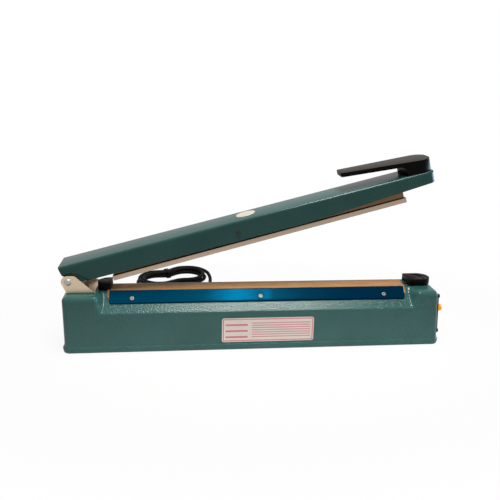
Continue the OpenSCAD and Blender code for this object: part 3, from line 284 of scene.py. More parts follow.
ring_count = round(hank_turns * rings_per_loop)
hank_points = [hank_point(hank_turns * i / ring_count) for i in range(ring_count + 1)]
hank_out = Vector((-math.sin(hank_turn), math.cos(hank_turn), 0))
hank_start = hank_points[0] - lead_d * hank_out
hank_end = hank_points[-1] - lead_d * hank_out
route = [gland_end] + [Vector(p) for p in lead_points] + [hank_start - straight_in * hank_out, hank_start]
route += hank_points + [hank_end, hank_end - straight_out * hank_out]
route += [Vector(p) for p in tail_points] + [plug_at]


def smooth_line(points, steps):
    """Points of a smooth curve through the given ones, with steps to each span."""
    line = []
    last = len(points) - 1
    for i in range(last):
        a = points[max(i - 1, 0)]
        b = points[i]
        c = points[i + 1]
        d = points[min(i + 2, last)]
        for k in range(steps):
            t = k / steps
            line.append(0.5 * (2 * b + (c - a) * t + (2 * a - 5 * b + 4 * c - d) * t * t
                               + (3 * b - a - 3 * c + d) * t ** 3))
    return line + [points[last]]


lead_line = [place(*p) for p in smooth_line(route, 4)]
lead_curve = bpy.data.curves.new("mains_lead", "CURVE")
lead_curve.dimensions = "3D"
lead_spline = lead_curve.splines.new("POLY")
lead_spline.points.add(len(lead_line) - 1)
for spot, p in zip(lead_spline.points, lead_line):
    spot.co = (*p, 1)
lead_curve.bevel_depth = lead_d / 2 * mm
lead_curve.bevel_resolution = 5
lead_curve.use_fill_caps = True
lead_spline.use_smooth = True
mains_lead = add_object("mains_lead", lead_curve)


def new_finish(name, **constants):
    """A material, the start of its nodes and its main shader, with the constants set on the shader."""
    made = bpy.data.materials.new(name)
    made.use_nodes = True
    shader = made.node_tree.nodes["Principled BSDF"]
    for key, value in constants.items():
        shader.inputs[key.replace("_", " ").title().replace("Ior", "IOR")].default_value = value
    return made, Shade(made.node_tree), shader


def srgb(r, g, b):
    linear = []
    for value in (r, g, b):
        c = value / 255
        linear.append(c / 12.92 if c <= 0.04045 else ((c + 0.055) / 1.055) ** 2.4)
    return (*linear, 1)


def noise(nodes, at, scale, detail=2.0, roughness=0.5):
    sockets = {"Vector": at, "Scale": scale, "Detail": detail, "Roughness": roughness}
    return nodes.node("TexNoise", None, sockets)


def bump(nodes, shader, height, strength, depth):
    made = nodes.node("Bump", None, {"Height": height, "Strength": strength, "Distance": depth})
    nodes.feed(shader.inputs["Normal"], made)


sheath, nodes, shader = new_finish("sheath_rubber", specular_ior_level=0.07)
at = place_on(nodes)
scuff = noise(nodes, at, 160, 4)
nodes.feed(shader.inputs["Base Color"], scuff.mix(srgb(4, 4, 5), srgb(16, 15, 15)))
nodes.feed(shader.inputs["Roughness"], 0.42 + scuff * 0.2)
bump(nodes, shader, noise(nodes, at, 900, 2), 0.15, 0.0003)
lead_curve.materials.append(sheath)
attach(mains_lead, "base")
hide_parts("cord_lead", "cord_hank", "cord_tail")


# Gland, tie and plug: the gland is a soft ribbed cone that keeps the lead from kinking, the tie a flat
# strap round the far run of the hank, and the plug a moulded body with finger ridges and two pins.
def add_piece(name, points, faces, finish, body, sharp_degrees=38):
    mesh = bpy.data.meshes.new(name)
    mesh.from_pydata(points, [], faces)
    work = bmesh.new()
    work.from_mesh(mesh)
    bmesh.ops.remove_doubles(work, verts=work.verts, dist=1e-6)
    bmesh.ops.recalc_face_normals(work, faces=work.faces)
    work.to_mesh(mesh)
    work.free()
    mesh.shade_smooth()
    mesh.set_sharp_from_angle(angle=math.radians(sharp_degrees))
    mesh.materials.append(finish)
    made = add_object(name, mesh)
    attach(made, body)
    return made


def ring_faces(rings, count, closed=True, start=0):
    """Quads between successive rings of count points each."""
    faces = []
    for i in range(rings - 1):
        for k in range(count if closed else count - 1):
            a = start + i * count + k
            b = start + i * count + (k + 1) % count
            faces.append((a, b, b + count, a + count))
    return faces


def end_faces(points, count, start=0):
    """The faces that close the first ring after the start and the last ring of the points."""
    return [tuple(range(start, start + count)), tuple(range(len(points) - count, len(points)))]


def joined_rings(rings, count):
    """Quads between successive rings and from the last ring back to the first."""
    faces = ring_faces(rings, count)
    last = (rings - 1) * count
    for k in range(count):
        n = (k + 1) % count
        faces.append((last + k, last + n, n, k))
    return faces


def lathe(profile, origin, axis, side, count=40):
    """A closed turned form from pairs of distance along the axis and radius."""
    axis = Vector(axis).normalized()
    side = Vector(side).normalized()
    other = axis.cross(side)
    points = []
    for along, radius in profile:
        for k in range(count):
            a = 2 * math.pi * k / count
            points.append(origin + (axis * along + (side * math.cos(a) + other * math.sin(a)) * radius) * mm)
    return points, ring_faces(len(profile), count) + end_faces(points, count)


gland_wall = 40
gland_profile = [(-1.6, 6.0), (-0.2, 6.0), (-0.2, 8.4), (0.4, 8.6), (2.4, 8.6), (3.0, 8.2), (3.0, 6.5)]
rib_profile = [(0, 6.5), (1.5, 6.5), (1.7, 5.4), (2.9, 5.4), (3.1, 6.4)]
rib_count = 7
rib_pitch = 3.2
rib_start = 3.4
rib_taper = 0.36
rib_least = 3.45
for i in range(rib_count):
    start = rib_start + i * rib_pitch
    shrink = 1 - rib_taper * (i / rib_count)
    for step, radius in rib_profile:
        gland_profile.append((start + step, max(radius * shrink, rib_least)))
gland_profile += [(27, 4.2), (28, 3.9), (28, 3.12)]
points, faces = lathe(gland_profile, place(gland_end.x, gland_wall, gland_end.z), (0, 1, 0), (1, 0, 0))
lead_gland = add_piece("lead_gland", points, faces, sheath, "base", 30)
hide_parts("cord_gland")

tie_w = 7
tie_t = 0.7
tie_bend = 3
tie_gap = 0.6
tie_rise = 0.3
inner_loops = 1.5
tie_near = hank_r - hank_pinch - loop_step * inner_loops - lead_d / 2 - tie_gap
tie_far = hank_r - hank_pinch + lead_d / 2 + tie_gap
tie_high = cord_z + layer_step + lead_d / 2 + tie_rise


def rounded_loop(x0, x1, y0, y1, r, steps=6):
    """Points round a rectangle with rounded corners."""
    loop = []
    corners = ((x1 - r, y0 + r, -90), (x1 - r, y1 - r, 0), (x0 + r, y1 - r, 90), (x0 + r, y0 + r, 180))
    for cx, cy, first in corners:
        for k in range(steps + 1):
            a = math.radians(first + 90 * k / steps)
            loop.append((cx + r * math.cos(a), cy + r * math.sin(a)))
    return loop


points = []
tie_edges = ((0, -0.5), (tie_t, -0.5), (tie_t, 0.5), (0, 0.5))
for grow, across in tie_edges:
    loop = rounded_loop(tie_near - grow, tie_far + grow, tie_t - grow, tie_high + grow, tie_bend + grow)
    for y, z in loop:
        points.append(place(*(turned(across * tie_w, y) + Vector((0, 0, z)))))
faces = joined_rings(len(tie_edges), len(loop))
hank_tie = add_piece("hank_tie", points, faces, sheath, "base")
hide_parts("cord_tie")

plug_sections = [(0, 4.6, 4.4), (2, 4.9, 4.6), (6, 6.0, 5.2), (10, 9.2, 6.2), (13, 12.2, 7.0),
                 (15, 13.2, 7.4)]
plug_half = (13.4, 7.4)
groove_half = (12.6, 6.8)
ridge_count = 5
ridge_start = 16
ridge_pitch = 2.6
for i in range(ridge_count):
    ridge = ridge_start + i * ridge_pitch
    plug_sections += [(ridge, *plug_half), (ridge + 0.9, *plug_half)]
    plug_sections += [(ridge + 1.2, *groove_half), (ridge + 2.2, *groove_half)]
plug_sections += [(29.4, *plug_half), (34.5, *plug_half), (35.6, 12.8, 6.9), (36, 11.8, 6.0)]
plug_sides = 48
plug_roundness = 0.45
points = []
for along, half_w, half_t in plug_sections:
    for k in range(plug_sides):
        a = 2 * math.pi * k / plug_sides
        c = math.cos(a)
        s = math.sin(a)
        x = half_w * math.copysign(abs(c) ** plug_roundness, c)
        z = half_t * math.copysign(abs(s) ** plug_roundness, s)
        points.append(place(plug_at.x + x, plug_at.y - along, plug_at.z + z))
faces = ring_faces(len(plug_sections), plug_sides) + end_faces(points, plug_sides)
lead_plug = add_piece("lead_plug", points, faces, sheath, "base", 50)
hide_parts("plug_body")


def soften(node, finish, width, degrees=30, segments=3):
    """Gives a solid of the frame rounded edges and its finish."""
    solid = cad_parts[node]
    solid.data.materials.clear()
    solid.data.materials.append(finish)
    solid.data.shade_smooth()
    weld = solid.modifiers.new("weld", "WELD")
    weld.merge_threshold = 1e-6
    edge = solid.modifiers.new("edge", "BEVEL")
    edge.limit_method = "ANGLE"
    edge.angle_limit = math.radians(degrees)
    edge.width = width * mm
    edge.segments = segments
    edge.harden_normals = True
    return solid


def rolled_grain(nodes, shader, stretch, rough):
    """Fine lines along one direction, in a metal's roughness and relief."""
    grain = noise(nodes, stretched(nodes, place_on(nodes), stretch), 60, 4, 0.6)
    nodes.feed(shader.inputs["Roughness"], rough + grain * 0.16)
    bump(nodes, shader, grain, 0.1, 0.0002)
    return grain


def brushed(name, colour, stretch, rough):
    """Plated or rolled metal with fine lines along one direction."""
    made, nodes, shader = new_finish(name, metallic=1.0)
    grain = rolled_grain(nodes, shader, stretch, rough)
    cloud = noise(nodes, place_on(nodes), 45, 3)
    dark = [c * 0.8 for c in colour[:3]]
    nodes.feed(shader.inputs["Base Color"], (grain * 0.6 + cloud * 0.4).mix((*dark, 1), colour))
    return made


brass = brushed("pin_brass", srgb(205, 175, 105), (1, 12, 12), 0.24)
pins = soften("plug_pins", brass, 0.7)
place(*gland_end)

# Base housing: one deep-drawn sheet of steel under glossy hammered enamel. Its long sides slope between
# two full-height end blocks, and its open foot is rolled outwards into a lip.
left_x = -265.0
right_x = 265.0
half_depth = 40.0
base_top = 81.5
fold_z = 56.8
fold_r = 3.0
ridge_half = 15.0
ridge_r = 1.6
lip_top = 10.5
left_block = 53
right_block = 42
inner_left = left_x + left_block
inner_right = right_x - right_block
inner_side = 11.0
side_start = 1.5
block_soft = 11.0
end_r = 6.8
wall_lean = 1.2
lean_angle = math.radians(3.7)
end_lean = math.tan(lean_angle)
lean_start = 232
steel_t = 1.5
slope = Vector((half_depth - ridge_half, base_top - fold_z)).normalized()
slope_out = Vector((-slope.y, slope.x))


def smooth_min(a, b, k):
    near = max(k - abs(a - b), 0) / k
    return min(a, b) - near * near * k / 4


def fillet(corner, before, after, r, steps):
    """Points of an arc of radius r that rounds a corner between two directions."""
    turn = before.angle(after)
    reach = r * math.tan(turn / 2)
    start = corner - before * reach
    inward = (after - before * before.dot(after)).normalized()
    centre = start + inward * r
    points = []
    for k in range(steps + 1):
        a = turn * k / steps
        points.append(centre - inward * r * math.cos(a) + before * r * math.sin(a))
    return points


upright = Vector((0, 1))
level = Vector((1, 0))
fold_corner = Vector((-half_depth, fold_z))
ridge_corner = Vector((-ridge_half, base_top))
half_section = [Vector((-half_depth, z)) for z in (5, 9, 12, 16, 21, 26, 31, 36, 41, 46, 50, 53)]
half_section += fillet(fold_corner, upright, slope, fold_r, 5)
slope_steps = 34
slope_first = 2.2
slope_ends = 3.6
slope_run = (ridge_corner - fold_corner).length - slope_ends
for i in range(1, slope_steps):
    half_section.append(fold_corner + slope * (slope_first + slope_run * i / slope_steps))
half_section += fillet(ridge_corner, slope, level, ridge_r, 4)
half_section += [Vector((y, base_top)) for y in (-11, -6, 0)]


def block_rise(p):
    """Distance from the slope out to the end block's face, along the slope's normal."""
    side = (p.x + half_depth) / -slope_out.x
    top = (base_top - p.y) / slope_out.y
    return max(smooth_min(side, top, block_soft), 0)


def housing_section(x, set_back):
    """Half of the housing's section at a place along the base, from the lip to the ridge's middle."""
    beyond = max(inner_left - x, x - inner_right - set_back)
    share = eased((beyond + side_start) / inner_side)
    section = []
    for p in half_section:
        bulge = wall_lean * limited((fold_z - p.y) / (fold_z - lip_top))
        section.append(p + slope_out * (block_rise(p) * share) - level * bulge)
    return section


def inset_line(points, g):
    """A line moved to its right-hand side by g."""
    moved = []
    for i, p in enumerate(points):
        a = points[max(i - 1, 0)]
        b = points[min(i + 1, len(points) - 1)]
        along = (b - a).normalized()
        moved.append(p + Vector((along.y, -along.x)) * g)
    return moved


end_steps = 9


def rounded_end(end_x, inward):
    """Places along the base, with the insets that round off one end."""
    made = []
    for i in range(end_steps + 1):
        a = math.radians(90 * i / end_steps)
        made.append((end_x + inward * end_r * (1 - math.cos(a)), end_r * (1 - math.sin(a))))
    return made


rear_set_back = 8.0
fine_step = 0.7
fine_left = inner_left - 12
fine_right = inner_right - 3
mid_count = 24
mid_inset = 6
mid_run = inner_right - inner_left - 2 * mid_inset
between = [-250, -240, -232, -227]
between += [fine_left + fine_step * i for i in range(23)]
between += [inner_left + mid_inset + mid_run * i / mid_count for i in range(mid_count + 1)]
between += [fine_right + fine_step * i for i in range(31)]
between += [246, 251]
stations = rounded_end(left_x, 1) + [(x, 0) for x in between] + rounded_end(right_x, -1)[::-1]
points = []
for x, g in stations:
    half = inset_line(housing_section(x, 0), g)
    rear_half = inset_line(housing_section(x, rear_set_back), g)
    lean = limited((x - lean_start) / (right_x - end_r - lean_start))
    whole = half + [Vector((-p.x, p.y)) for p in reversed(rear_half[:-1])]
    for p in whole:
        points.append(place(x - lean * max(p.y - lip_top, 0) * end_lean, p.x, p.y))
across_count = 2 * len(half_section) - 1
faces = ring_faces(len(stations), across_count, closed=False) + end_faces(points, across_count)


def hammered(name, deep, light, dimple, gloss):
    """Glossy enamel with the small dimples of a hammered finish."""
    made, nodes, shader = new_finish(name, specular_ior_level=gloss)
    at = place_on(nodes)
    cells = nodes.node("TexVoronoi", None, {"Vector": at, "Scale": 480})
    domes = 1 - cells * cells
    drift = noise(nodes, at, 14, 3)
    fine = noise(nodes, at, 700, 2)
    tone = drift * 0.85 + cells * 0.15
    nodes.feed(shader.inputs["Base Color"], tone.mix(deep, light))
    nodes.feed(shader.inputs["Roughness"], 0.15 + fine * 0.08)
    bump(nodes, shader, domes + fine * 0.1, dimple, 0.0005)
    return made


def thicken(piece, thickness, offset=-1):
    sheet = piece.modifiers.new("sheet", "SOLIDIFY")
    sheet.thickness = thickness * mm
    sheet.offset = offset


enamel = hammered("base_enamel", srgb(36, 85, 82), srgb(60, 114, 110), 0.5, 0.42)
housing = add_piece("housing", points, faces, enamel, "base", 50)
thicken(housing, steel_t)
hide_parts("base_housing")

lip_turns = [(0.2, 0), (1.3, 0.05), (1.9, 0.7), (2.4, 2.6), (2.7, 4.8), (2.7, 6.2), (2.2, 7.6), (1.2, 8.8),
             (0.9, 9.6), (0.8, 10.8)]
lip_edge = 0.6
lip_end = lip_top + 1.2
lip_gap = 0.1
lip_inside = -0.8
lip_stretch = (lip_end - lip_edge) / lip_turns[-1][1]
lip_curve = smooth_line([Vector(p) for p in lip_turns], 3)
lip_section = [(p.x + lip_gap, lip_edge + p.y * lip_stretch) for p in lip_curve]
lip_section += [(lip_inside, lip_end), (lip_inside, lip_edge + 1.4), (0.2, lip_edge + 0.9)]
corner_r = 8.0
foot_loop = rounded_loop(left_x, right_x, -half_depth, half_depth, corner_r, 8)
points = []
for x, y in foot_loop:
    cx = min(max(x, left_x + corner_r), right_x - corner_r)
    cy = min(max(y, -half_depth + corner_r), half_depth - corner_r)
    out = Vector((x - cx, y - cy)).normalized()
    for o, z in lip_section:
        points.append(place(x + out.x * o, y + out.y * o, z))
faces = joined_rings(len(foot_loop), len(lip_section))
add_piece("rolled_lip", points, faces, enamel, "base", 60)


# Underside: a zinc-plated plate held by four screws, on four rubber feet.
# The plate also carries the transformer and the timer board.
def mottled(name, low, high, scale, detail, rough, gloss, relief=None):
    """A dull finish that drifts between two tones, with relief where it is given."""
    made, nodes, shader = new_finish(name, specular_ior_level=gloss)
    drift = noise(nodes, place_on(nodes), scale, detail)
    nodes.feed(shader.inputs["Base Color"], drift.mix(low, high))
    nodes.feed(shader.inputs["Roughness"], rough + drift * 0.2)
    if relief:
        bump(nodes, shader, drift, relief, 0.0003)
    return made


zinc = brushed("zinc_plate", srgb(196, 194, 188), (4, 40, 40), 0.28)
rubber = mottled("foot_rubber", srgb(18, 18, 18), srgb(40, 39, 38), 600, 4, 0.65, 0.3, relief=0.2)
soften("bottom_plate", zinc, 0.25)
soften("bottom_screws", zinc, 0.3)
soften("rubber_feet", rubber, 0.6)

# Hinge: a bracket folded from pale plated sheet stands on the left block. A headed pin with a clip runs
# through its ears, and a wound spring on the pin holds the arm up.
bracket_steel = brushed("bracket_plating", srgb(240, 216, 188), (6, 40, 6), 0.3)
soften("bracket_screws", zinc, 0.4)
soften("hinge_pin", zinc, 0.4)
soften("pin_clip", zinc, 0.15)
pin_x = -257.4
pin_z = 98.0
open_angle = math.radians(14.76)
ear_r = 9.0
ear_flat = 6.0
ear_slant = math.radians(40.6)
ear_out = 24.6
sheet_t = 1.8
bracket_len = 38
behind_pin = 2.4
bracket_left = pin_x - behind_pin
bracket_right = bracket_left + bracket_len
rear_tangent = math.radians(188)
slant_steps = 8
round_steps = 18
ear_outline = [Vector((bracket_right, base_top))]
for i in range(slant_steps + 1):
    a = math.pi / 2 - ear_slant * (1 - i / slant_steps)
    ear_outline.append(Vector((pin_x + ear_flat + ear_r * math.cos(a), pin_z + ear_r * math.sin(a))))
for i in range(round_steps + 1):
    a = math.pi / 2 + (rear_tangent - math.pi / 2) * i / round_steps
    ear_outline.append(Vector((pin_x + ear_r * math.cos(a), pin_z + ear_r * math.sin(a))))
ear_outline.append(Vector((bracket_left, base_top)))
# Depth from the ear's outer face, height of the bend at its foot, and inset of its edge
ear_layers = [(0, 2.1, 1.0), (0, 1.5, 0.4), (0.15, 1.0, 0.12), (0.45, 0.5, 0), (1.2, 0.05, 0),
              (sheet_t - 0.15, 0, 0.1), (sheet_t, 0, 0.3)]
points = []
faces = []
for side in (-1, 1):
    first = len(points)
    for deep, raised, g in ear_layers:
        shrunk = inset_line(ear_outline + ear_outline[:1], -g)[:-1]
        for p, q in zip(ear_outline, shrunk):
            low = base_top + raised if p.y == base_top else max(q.y, base_top + raised)
            points.append(place(q.x, side * (ear_out - deep), low))
    faces += ring_faces(len(ear_layers), len(ear_outline), start=first)
    faces += end_faces(points, len(ear_outline), first)
first = len(points)
plate_edge = 0.25
plate_inset = 1
plate_middle = (bracket_left + bracket_right) / 2
plate_loop = rounded_loop(bracket_left, bracket_right, plate_inset - ear_out, ear_out - plate_inset, 0.6, 3)
plate_layers = ((base_top, 0), (base_top + sheet_t - plate_edge, 0), (base_top + sheet_t, plate_edge))
for z, g in plate_layers:
    for x, y in plate_loop:
        points.append(place(x - math.copysign(g, x - plate_middle), y - math.copysign(g, y), z))
faces += ring_faces(len(plate_layers), len(plate_loop), start=first)
faces += end_faces(points, len(plate_loop), first)
bracket = add_piece("bracket", points, faces, bracket_steel, "base", 32)
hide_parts("hinge_bracket")

spring_r = 5.2
wire_r = 0.9
spring_half = 8.0
spring_turns = 6.75
leg_down = 13.7
leg_out = 21.5
sweep = 2 * math.pi * spring_turns + open_angle
coil_steps = 170
spring_line = [Vector((spring_r, -spring_half, -leg_down * s)) for s in (1, 0.75, 0.5, 0.25, 0.12)]
for i in range(coil_steps + 1):
    a = sweep * i / coil_steps
    y = spring_half * (2 * i / coil_steps - 1)
    spring_line.append(Vector((spring_r * math.cos(a), y, spring_r * math.sin(a))))
for reach in (1.8, 5, 10, 16, leg_out):
    x = spring_r * math.cos(sweep) - reach * math.sin(sweep)
    z = spring_r * math.sin(sweep) + reach * math.cos(sweep)
    spring_line.append(Vector((x, spring_half, z)))


def tube(line, radius, sides, reference):
    """A round bar along a line, closed at both ends."""
    points = []
    for i, p in enumerate(line):
        heading = (line[min(i + 1, len(line) - 1)] - line[max(i - 1, 0)]).normalized()
        side = Vector(reference).cross(heading).normalized()
        up = heading.cross(side)
        for k in range(sides):
            a = 2 * math.pi * k / sides
            points.append(p + (side * math.cos(a) + up * math.sin(a)) * radius)
    return points, ring_faces(len(line), sides) + end_faces(points, sides)


spring_wire = brushed("spring_wire", srgb(120, 120, 124), (10, 10, 10), 0.3)
points, faces = tube(spring_line, wire_r, 10, (0, 1, 0))
points = [place(pin_x + p.x, p.y, pin_z + p.z) for p in points]
mesh = bpy.data.meshes.new("lift_spring")
mesh.from_pydata(points, [], faces)
mesh.shade_smooth()
mesh.materials.append(spring_wire)
lift_spring = add_object("lift_spring", mesh)
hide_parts("return_spring")
place(pin_x, -7.5, pin_z)
place(pin_x, 7.5, pin_z)
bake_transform(lift_spring)

# Seal line: a heating ribbon on an insulating bed along the ridge, under a brown coated glass cloth.
# A metal strip in its blue protective film clamps the cloth to the front slope with three screws.
board_cream = mottled("bed_board", srgb(190, 178, 150), srgb(222, 212, 186), 300, 4, 0.6, 0.3)
soften("element_bed", board_cream, 0.15)
soften("heating_element", brushed("ribbon_alloy", srgb(150, 146, 140), (4, 60, 60), 0.3), 0.08)
soften("element_terminals", brass, 0.25)
soften("terminal_screws", zinc, 0.3)

tape_inset = 5.7
tape_left = inner_left + tape_inset
tape_right = inner_right - tape_inset
tape_t = 0.42
tape_mid = 0.25
tape_bend = 1.6
tape_spans = 140
ribbon_y = -2.68
ribbon_rise = 0.4
ribbon_reach = 3.2
bed_t = 1.2
bed_top = base_top + bed_t
tape_front = -13.9
tape_lift = 0.02
tape_ripple = 0.05
tape_top_y = [8.0, 7.0, 5.5, 4, 2.5, 1.2, 0, -1.2, -2.7, -4.2, -5.4, -6.6, -8, -9.5, -11]
tape_line = []
for y in tape_top_y:
    ridge = math.exp(-((y - ribbon_y) / ribbon_reach) ** 4)
    tape_line.append(Vector((y, bed_top + tape_mid + ribbon_rise * ridge)))
edge_corner = Vector((tape_front, bed_top + tape_mid))
down_slope = -slope
tape_line += fillet(edge_corner, -level, down_slope, tape_bend, 5)
leg_start = ridge_corner + slope_out * (tape_mid + tape_lift)
for s in (1.5, 4, 7, 9.5, 11.3):
    tape_line.append(leg_start + down_slope * s)
points = []
for i in range(tape_spans + 1):
    x = tape_left + (tape_right - tape_left) * i / tape_spans
    for k, p in enumerate(tape_line):
        ripple = tape_ripple * math.sin(x * 0.21 + k * 0.5) * math.sin(x * 0.053 + 1.3)
        ripple = min(ripple, 0) if k < len(tape_top_y) else 0
        points.append(place(x, p.x, p.y + ripple))
faces = ring_faces(tape_spans + 1, len(tape_line), closed=False)
cloth, nodes, shader = new_finish("coated_cloth", specular_ior_level=0.1)
at = place_on(nodes)
thread = 2 * math.pi / 0.0011
warp = nodes.math("SINE", nodes.node("SeparateXYZ", None, {0: at}, out="X") * thread)
weft = nodes.math("SINE", nodes.node("SeparateXYZ", None, {0: at}, out="Y") * thread)
weave = warp * weft * 0.5 + 0.5
stain = noise(nodes, stretched(nodes, at, (1, 4, 4)), 30, 4)
cloth_tone = stain * 0.75 + weave * 0.25
nodes.feed(shader.inputs["Base Color"], cloth_tone.mix(srgb(176, 117, 70), srgb(242, 190, 132)))
nodes.feed(shader.inputs["Roughness"], 0.4 + weave * 0.15)
bump(nodes, shader, weave, 0.25, 0.0002)
glass_cloth = add_piece("glass_cloth", points, faces, cloth, "base", 60)
thicken(glass_cloth, tape_t, offset=0)
cloth_width = sum((b - a).length for a, b in zip(tape_line, tape_line[1:]))
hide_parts("sealing_tape")

strip_inset = 2.8
strip_left = tape_left + strip_inset
strip_right = tape_right - strip_inset
strip_w = 20.0
strip_face = 1.7
strip_t = 1.08
strip_corner = 4.0
strip_roll = 0.35
roll_from = 0.44
strip_bow = 0.06
strip_ripple = 0.03
corner_steps = 6
strip_count = 120
strip_rows = 13
corner_insets = []
for i in range(corner_steps + 1):
    corner_insets.append(strip_corner * (1 - math.cos(math.radians(90 * i / corner_steps))))
strip_run = strip_right - strip_left - 2 * strip_corner
strip_x = [strip_left + inset for inset in corner_insets]
strip_x += [strip_left + strip_corner + strip_run * i / strip_count for i in range(1, strip_count)]
strip_x += [strip_right - inset for inset in reversed(corner_insets)]


def on_slope(x, up, out):
    at = ridge_corner + slope * up + slope_out * out
    return place(x, at.x, at.y)


points = []
for x in strip_x:
    near = min(x - strip_left, strip_right - x, strip_corner)
    cut = strip_corner - math.sqrt(max(strip_corner ** 2 - (strip_corner - near) ** 2, 0))
    for k in range(strip_rows):
        share = k / (strip_rows - 1)
        up = -(strip_w - cut) * share
        wave = strip_bow * math.sin(x * 0.047 + 0.7) * math.sin(math.pi * share)
        wave += strip_ripple * math.sin(x * 0.19 + share * 4)
        edge = strip_roll * max(0, abs(share - 0.5) - roll_from) / (0.5 - roll_from)
        points.append(on_slope(x, up, strip_face + wave - edge))
faces = ring_faces(len(strip_x), strip_rows, closed=False)
film, nodes, shader = new_finish("blue_film", specular_ior_level=0.05, specular_tint=(0, 0.5, 0.85, 1))
at = place_on(nodes)
streak = noise(nodes, stretched(nodes, at, (3, 40, 40)), 9, 4)
crease = noise(nodes, stretched(nodes, at, (1, 3, 3)), 45, 3)
along = nodes.node("SeparateXYZ", None, {0: at}, out="X")
# Painted highlights: streaked metallic patches left of the middle and by the middle screw paint cyan glints
# on the film.
painted_glint_share = soft_step(nodes, abs(along + 0.035), 0.05, 0.0)
screw_glint_share = soft_step(nodes, abs(along - 0.01), 0.011, 0.0)
# Painted shade: the film's tone is painted darker towards the right end.
painted_shade_rightward = soft_step(nodes, along, -0.03, 0.07)
film_tone_painted_shade = painted_shade_rightward.mix(srgb(0, 80, 112), srgb(0, 46, 76))
nodes.feed(shader.inputs["Base Color"], (streak * 0.7).mix(film_tone_painted_shade, srgb(0, 40, 66)))
nodes.feed(shader.inputs["Metallic"], 0.02 + (painted_glint_share + screw_glint_share * 0.6) * streak * 0.36)
nodes.feed(shader.inputs["Roughness"], 0.16 + streak * 0.14)
bump(nodes, shader, crease, 0.12, 0.0008)
film_strip = add_piece("film_strip", points, faces, film, "base", 40)
thicken(film_strip, strip_t)
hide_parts("clamp_strip")
dull_screw = brushed("dull_screw", srgb(124, 124, 120), (20, 20, 20), 0.42)
soften("strip_screws", dull_screw, 0.5)


# Terminal covers: black moulded caps over the ends of the ribbon, each held by a screw.
# The grain of the mould shows on their flat tops.
def moulded(nodes, shader):
    """The mould's fine grain and broader wear, as one share from the dark tone to the pale one."""
    at = place_on(nodes)
    grain = noise(nodes, at, 1500, 2)
    worn = noise(nodes, at, 40, 4)
    nodes.feed(shader.inputs["Roughness"], 0.28 + worn * 0.16)
    bump(nodes, shader, grain, 0.18, 0.0002)
    return grain * 0.4 + worn * 0.6


mould_dark = srgb(7, 6, 7)
black_mould, nodes, shader = new_finish("black_mould", specular_ior_level=0.05)
nodes.feed(shader.inputs["Base Color"], moulded(nodes, shader).mix(mould_dark, srgb(21, 19, 17)))
soften("hinge_end_cover", black_mould, 0.7)
soften("control_end_cover", black_mould, 0.7)
black_screw = brushed("black_screw", srgb(52, 52, 52), (20, 20, 20), 0.4)
soften("cover_screws", black_screw, 0.3)

# Control end: a black moulded panel on the leaning end wall with an amber lamp and a fluted timer knob.
# A ring of ticks and figures is printed round the knob.
panel_z = 43
panel_middle = Vector((right_x - (panel_z - lip_top) * end_lean, 0, panel_z))
panel_t = 3.5
panel_down = Vector((math.sin(lean_angle), 0, -math.cos(lean_angle)))
panel_out = Vector((math.cos(lean_angle), 0, math.sin(lean_angle)))
knob_at = (-5.0, 10.0)
lamp_at = (-7.0, -22.0)


def on_panel(below, back, out):
    return place(*(panel_middle + panel_down * below + Vector((0, back, 0)) + panel_out * out))


soften("end_panel", black_mould, 0.8)
soften("panel_screws", black_screw, 0.3)
soften("timer_nut", zinc, 0.3)
soften("timer_shaft", zinc, 0.3)
soften("timer_knob", black_mould, 0.35)
amber, nodes, shader = new_finish("amber_lens", specular_ior_level=0.4, emission_strength=0.45)
swirl = noise(nodes, place_on(nodes), 220, 2)
lens_tone = swirl.mix(srgb(222, 128, 6), srgb(244, 164, 20))
nodes.feed(shader.inputs["Base Color"], lens_tone)
nodes.feed(shader.inputs["Emission Color"], lens_tone)
nodes.feed(shader.inputs["Roughness"], 0.1 + swirl * 0.1)
lens_profile = [(0.4, 5.0), (3.4, 5.0), (3.5, 6.0), (4.1, 6.0), (4.3, 5.6), (8.0, 5.4), (9.4, 5.0),
                (10.5, 4.2), (11.2, 3.0), (11.5, 1.5), (11.5, 0.2)]
points, faces = lathe(lens_profile, on_panel(*lamp_at, 0), panel_out, (0, 1, 0), 48)
lens = add_piece("lens", points, faces, amber, "base", 40)
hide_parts("lamp_lens")

print_white = mottled("print_white", srgb(198, 196, 190), srgb(228, 226, 220), 900, 3, 0.5, 0.3)
dial_steps = 8
dial_sweep = 280
print_t = 0.12
print_sunk = 0.05
tick_start = 13.2
long_tick = (15.0, 0.3)
short_tick = (14.2, 0.2)
figure_r = 17.2
points = []
faces = []


def on_dial(below, back, out):
    return on_panel(knob_at[0] + below, knob_at[1] + back, out)


def add_tick(inner, outer, half_w, angle):
    c = math.cos(angle)
    s = math.sin(angle)
    base = len(points)
    for out in (panel_t - print_sunk, panel_t + print_t):
        for r, w in ((inner, -half_w), (outer, -half_w), (outer, half_w), (inner, half_w)):
            points.append(on_dial(w * s - r * c, r * s + w * c, out))
    box = ((0, 1, 2, 3), (4, 5, 6, 7), (0, 1, 5, 4), (1, 2, 6, 5), (2, 3, 7, 6), (3, 0, 4, 7))
    for face in box:
        faces.append(tuple(base + k for k in face))


for i in range(2 * dial_steps + 1):
    angle = math.radians(-dial_sweep / 2 + dial_sweep * i / (2 * dial_steps))
    add_tick(tick_start, *(long_tick if i % 2 == 0 else short_tick), angle)
for i in range(dial_steps + 1):
    angle = math.radians(-dial_sweep / 2 + dial_sweep * i / dial_steps)
    figure = bpy.data.curves.new("figure", "FONT")
    figure.body = str(i)
    figure.size = 3.4
    figure.align_x = "CENTER"
    figure.align_y = "CENTER"
    figure.extrude = print_t / 2
    holder = add_object("figure", figure)
    shape = bpy.data.meshes.new_from_object(holder)
    bpy.data.objects.remove(holder)
    base = len(points)
    for v in shape.vertices:
        below = -figure_r * math.cos(angle) - v.co.y
        back = figure_r * math.sin(angle) + v.co.x
        points.append(on_dial(below, back, panel_t + print_t / 2 + v.co.z))
    for face in shape.polygons:
        faces.append(tuple(base + k for k in face.vertices))
add_piece("dial_print", points, faces, print_white, "base")


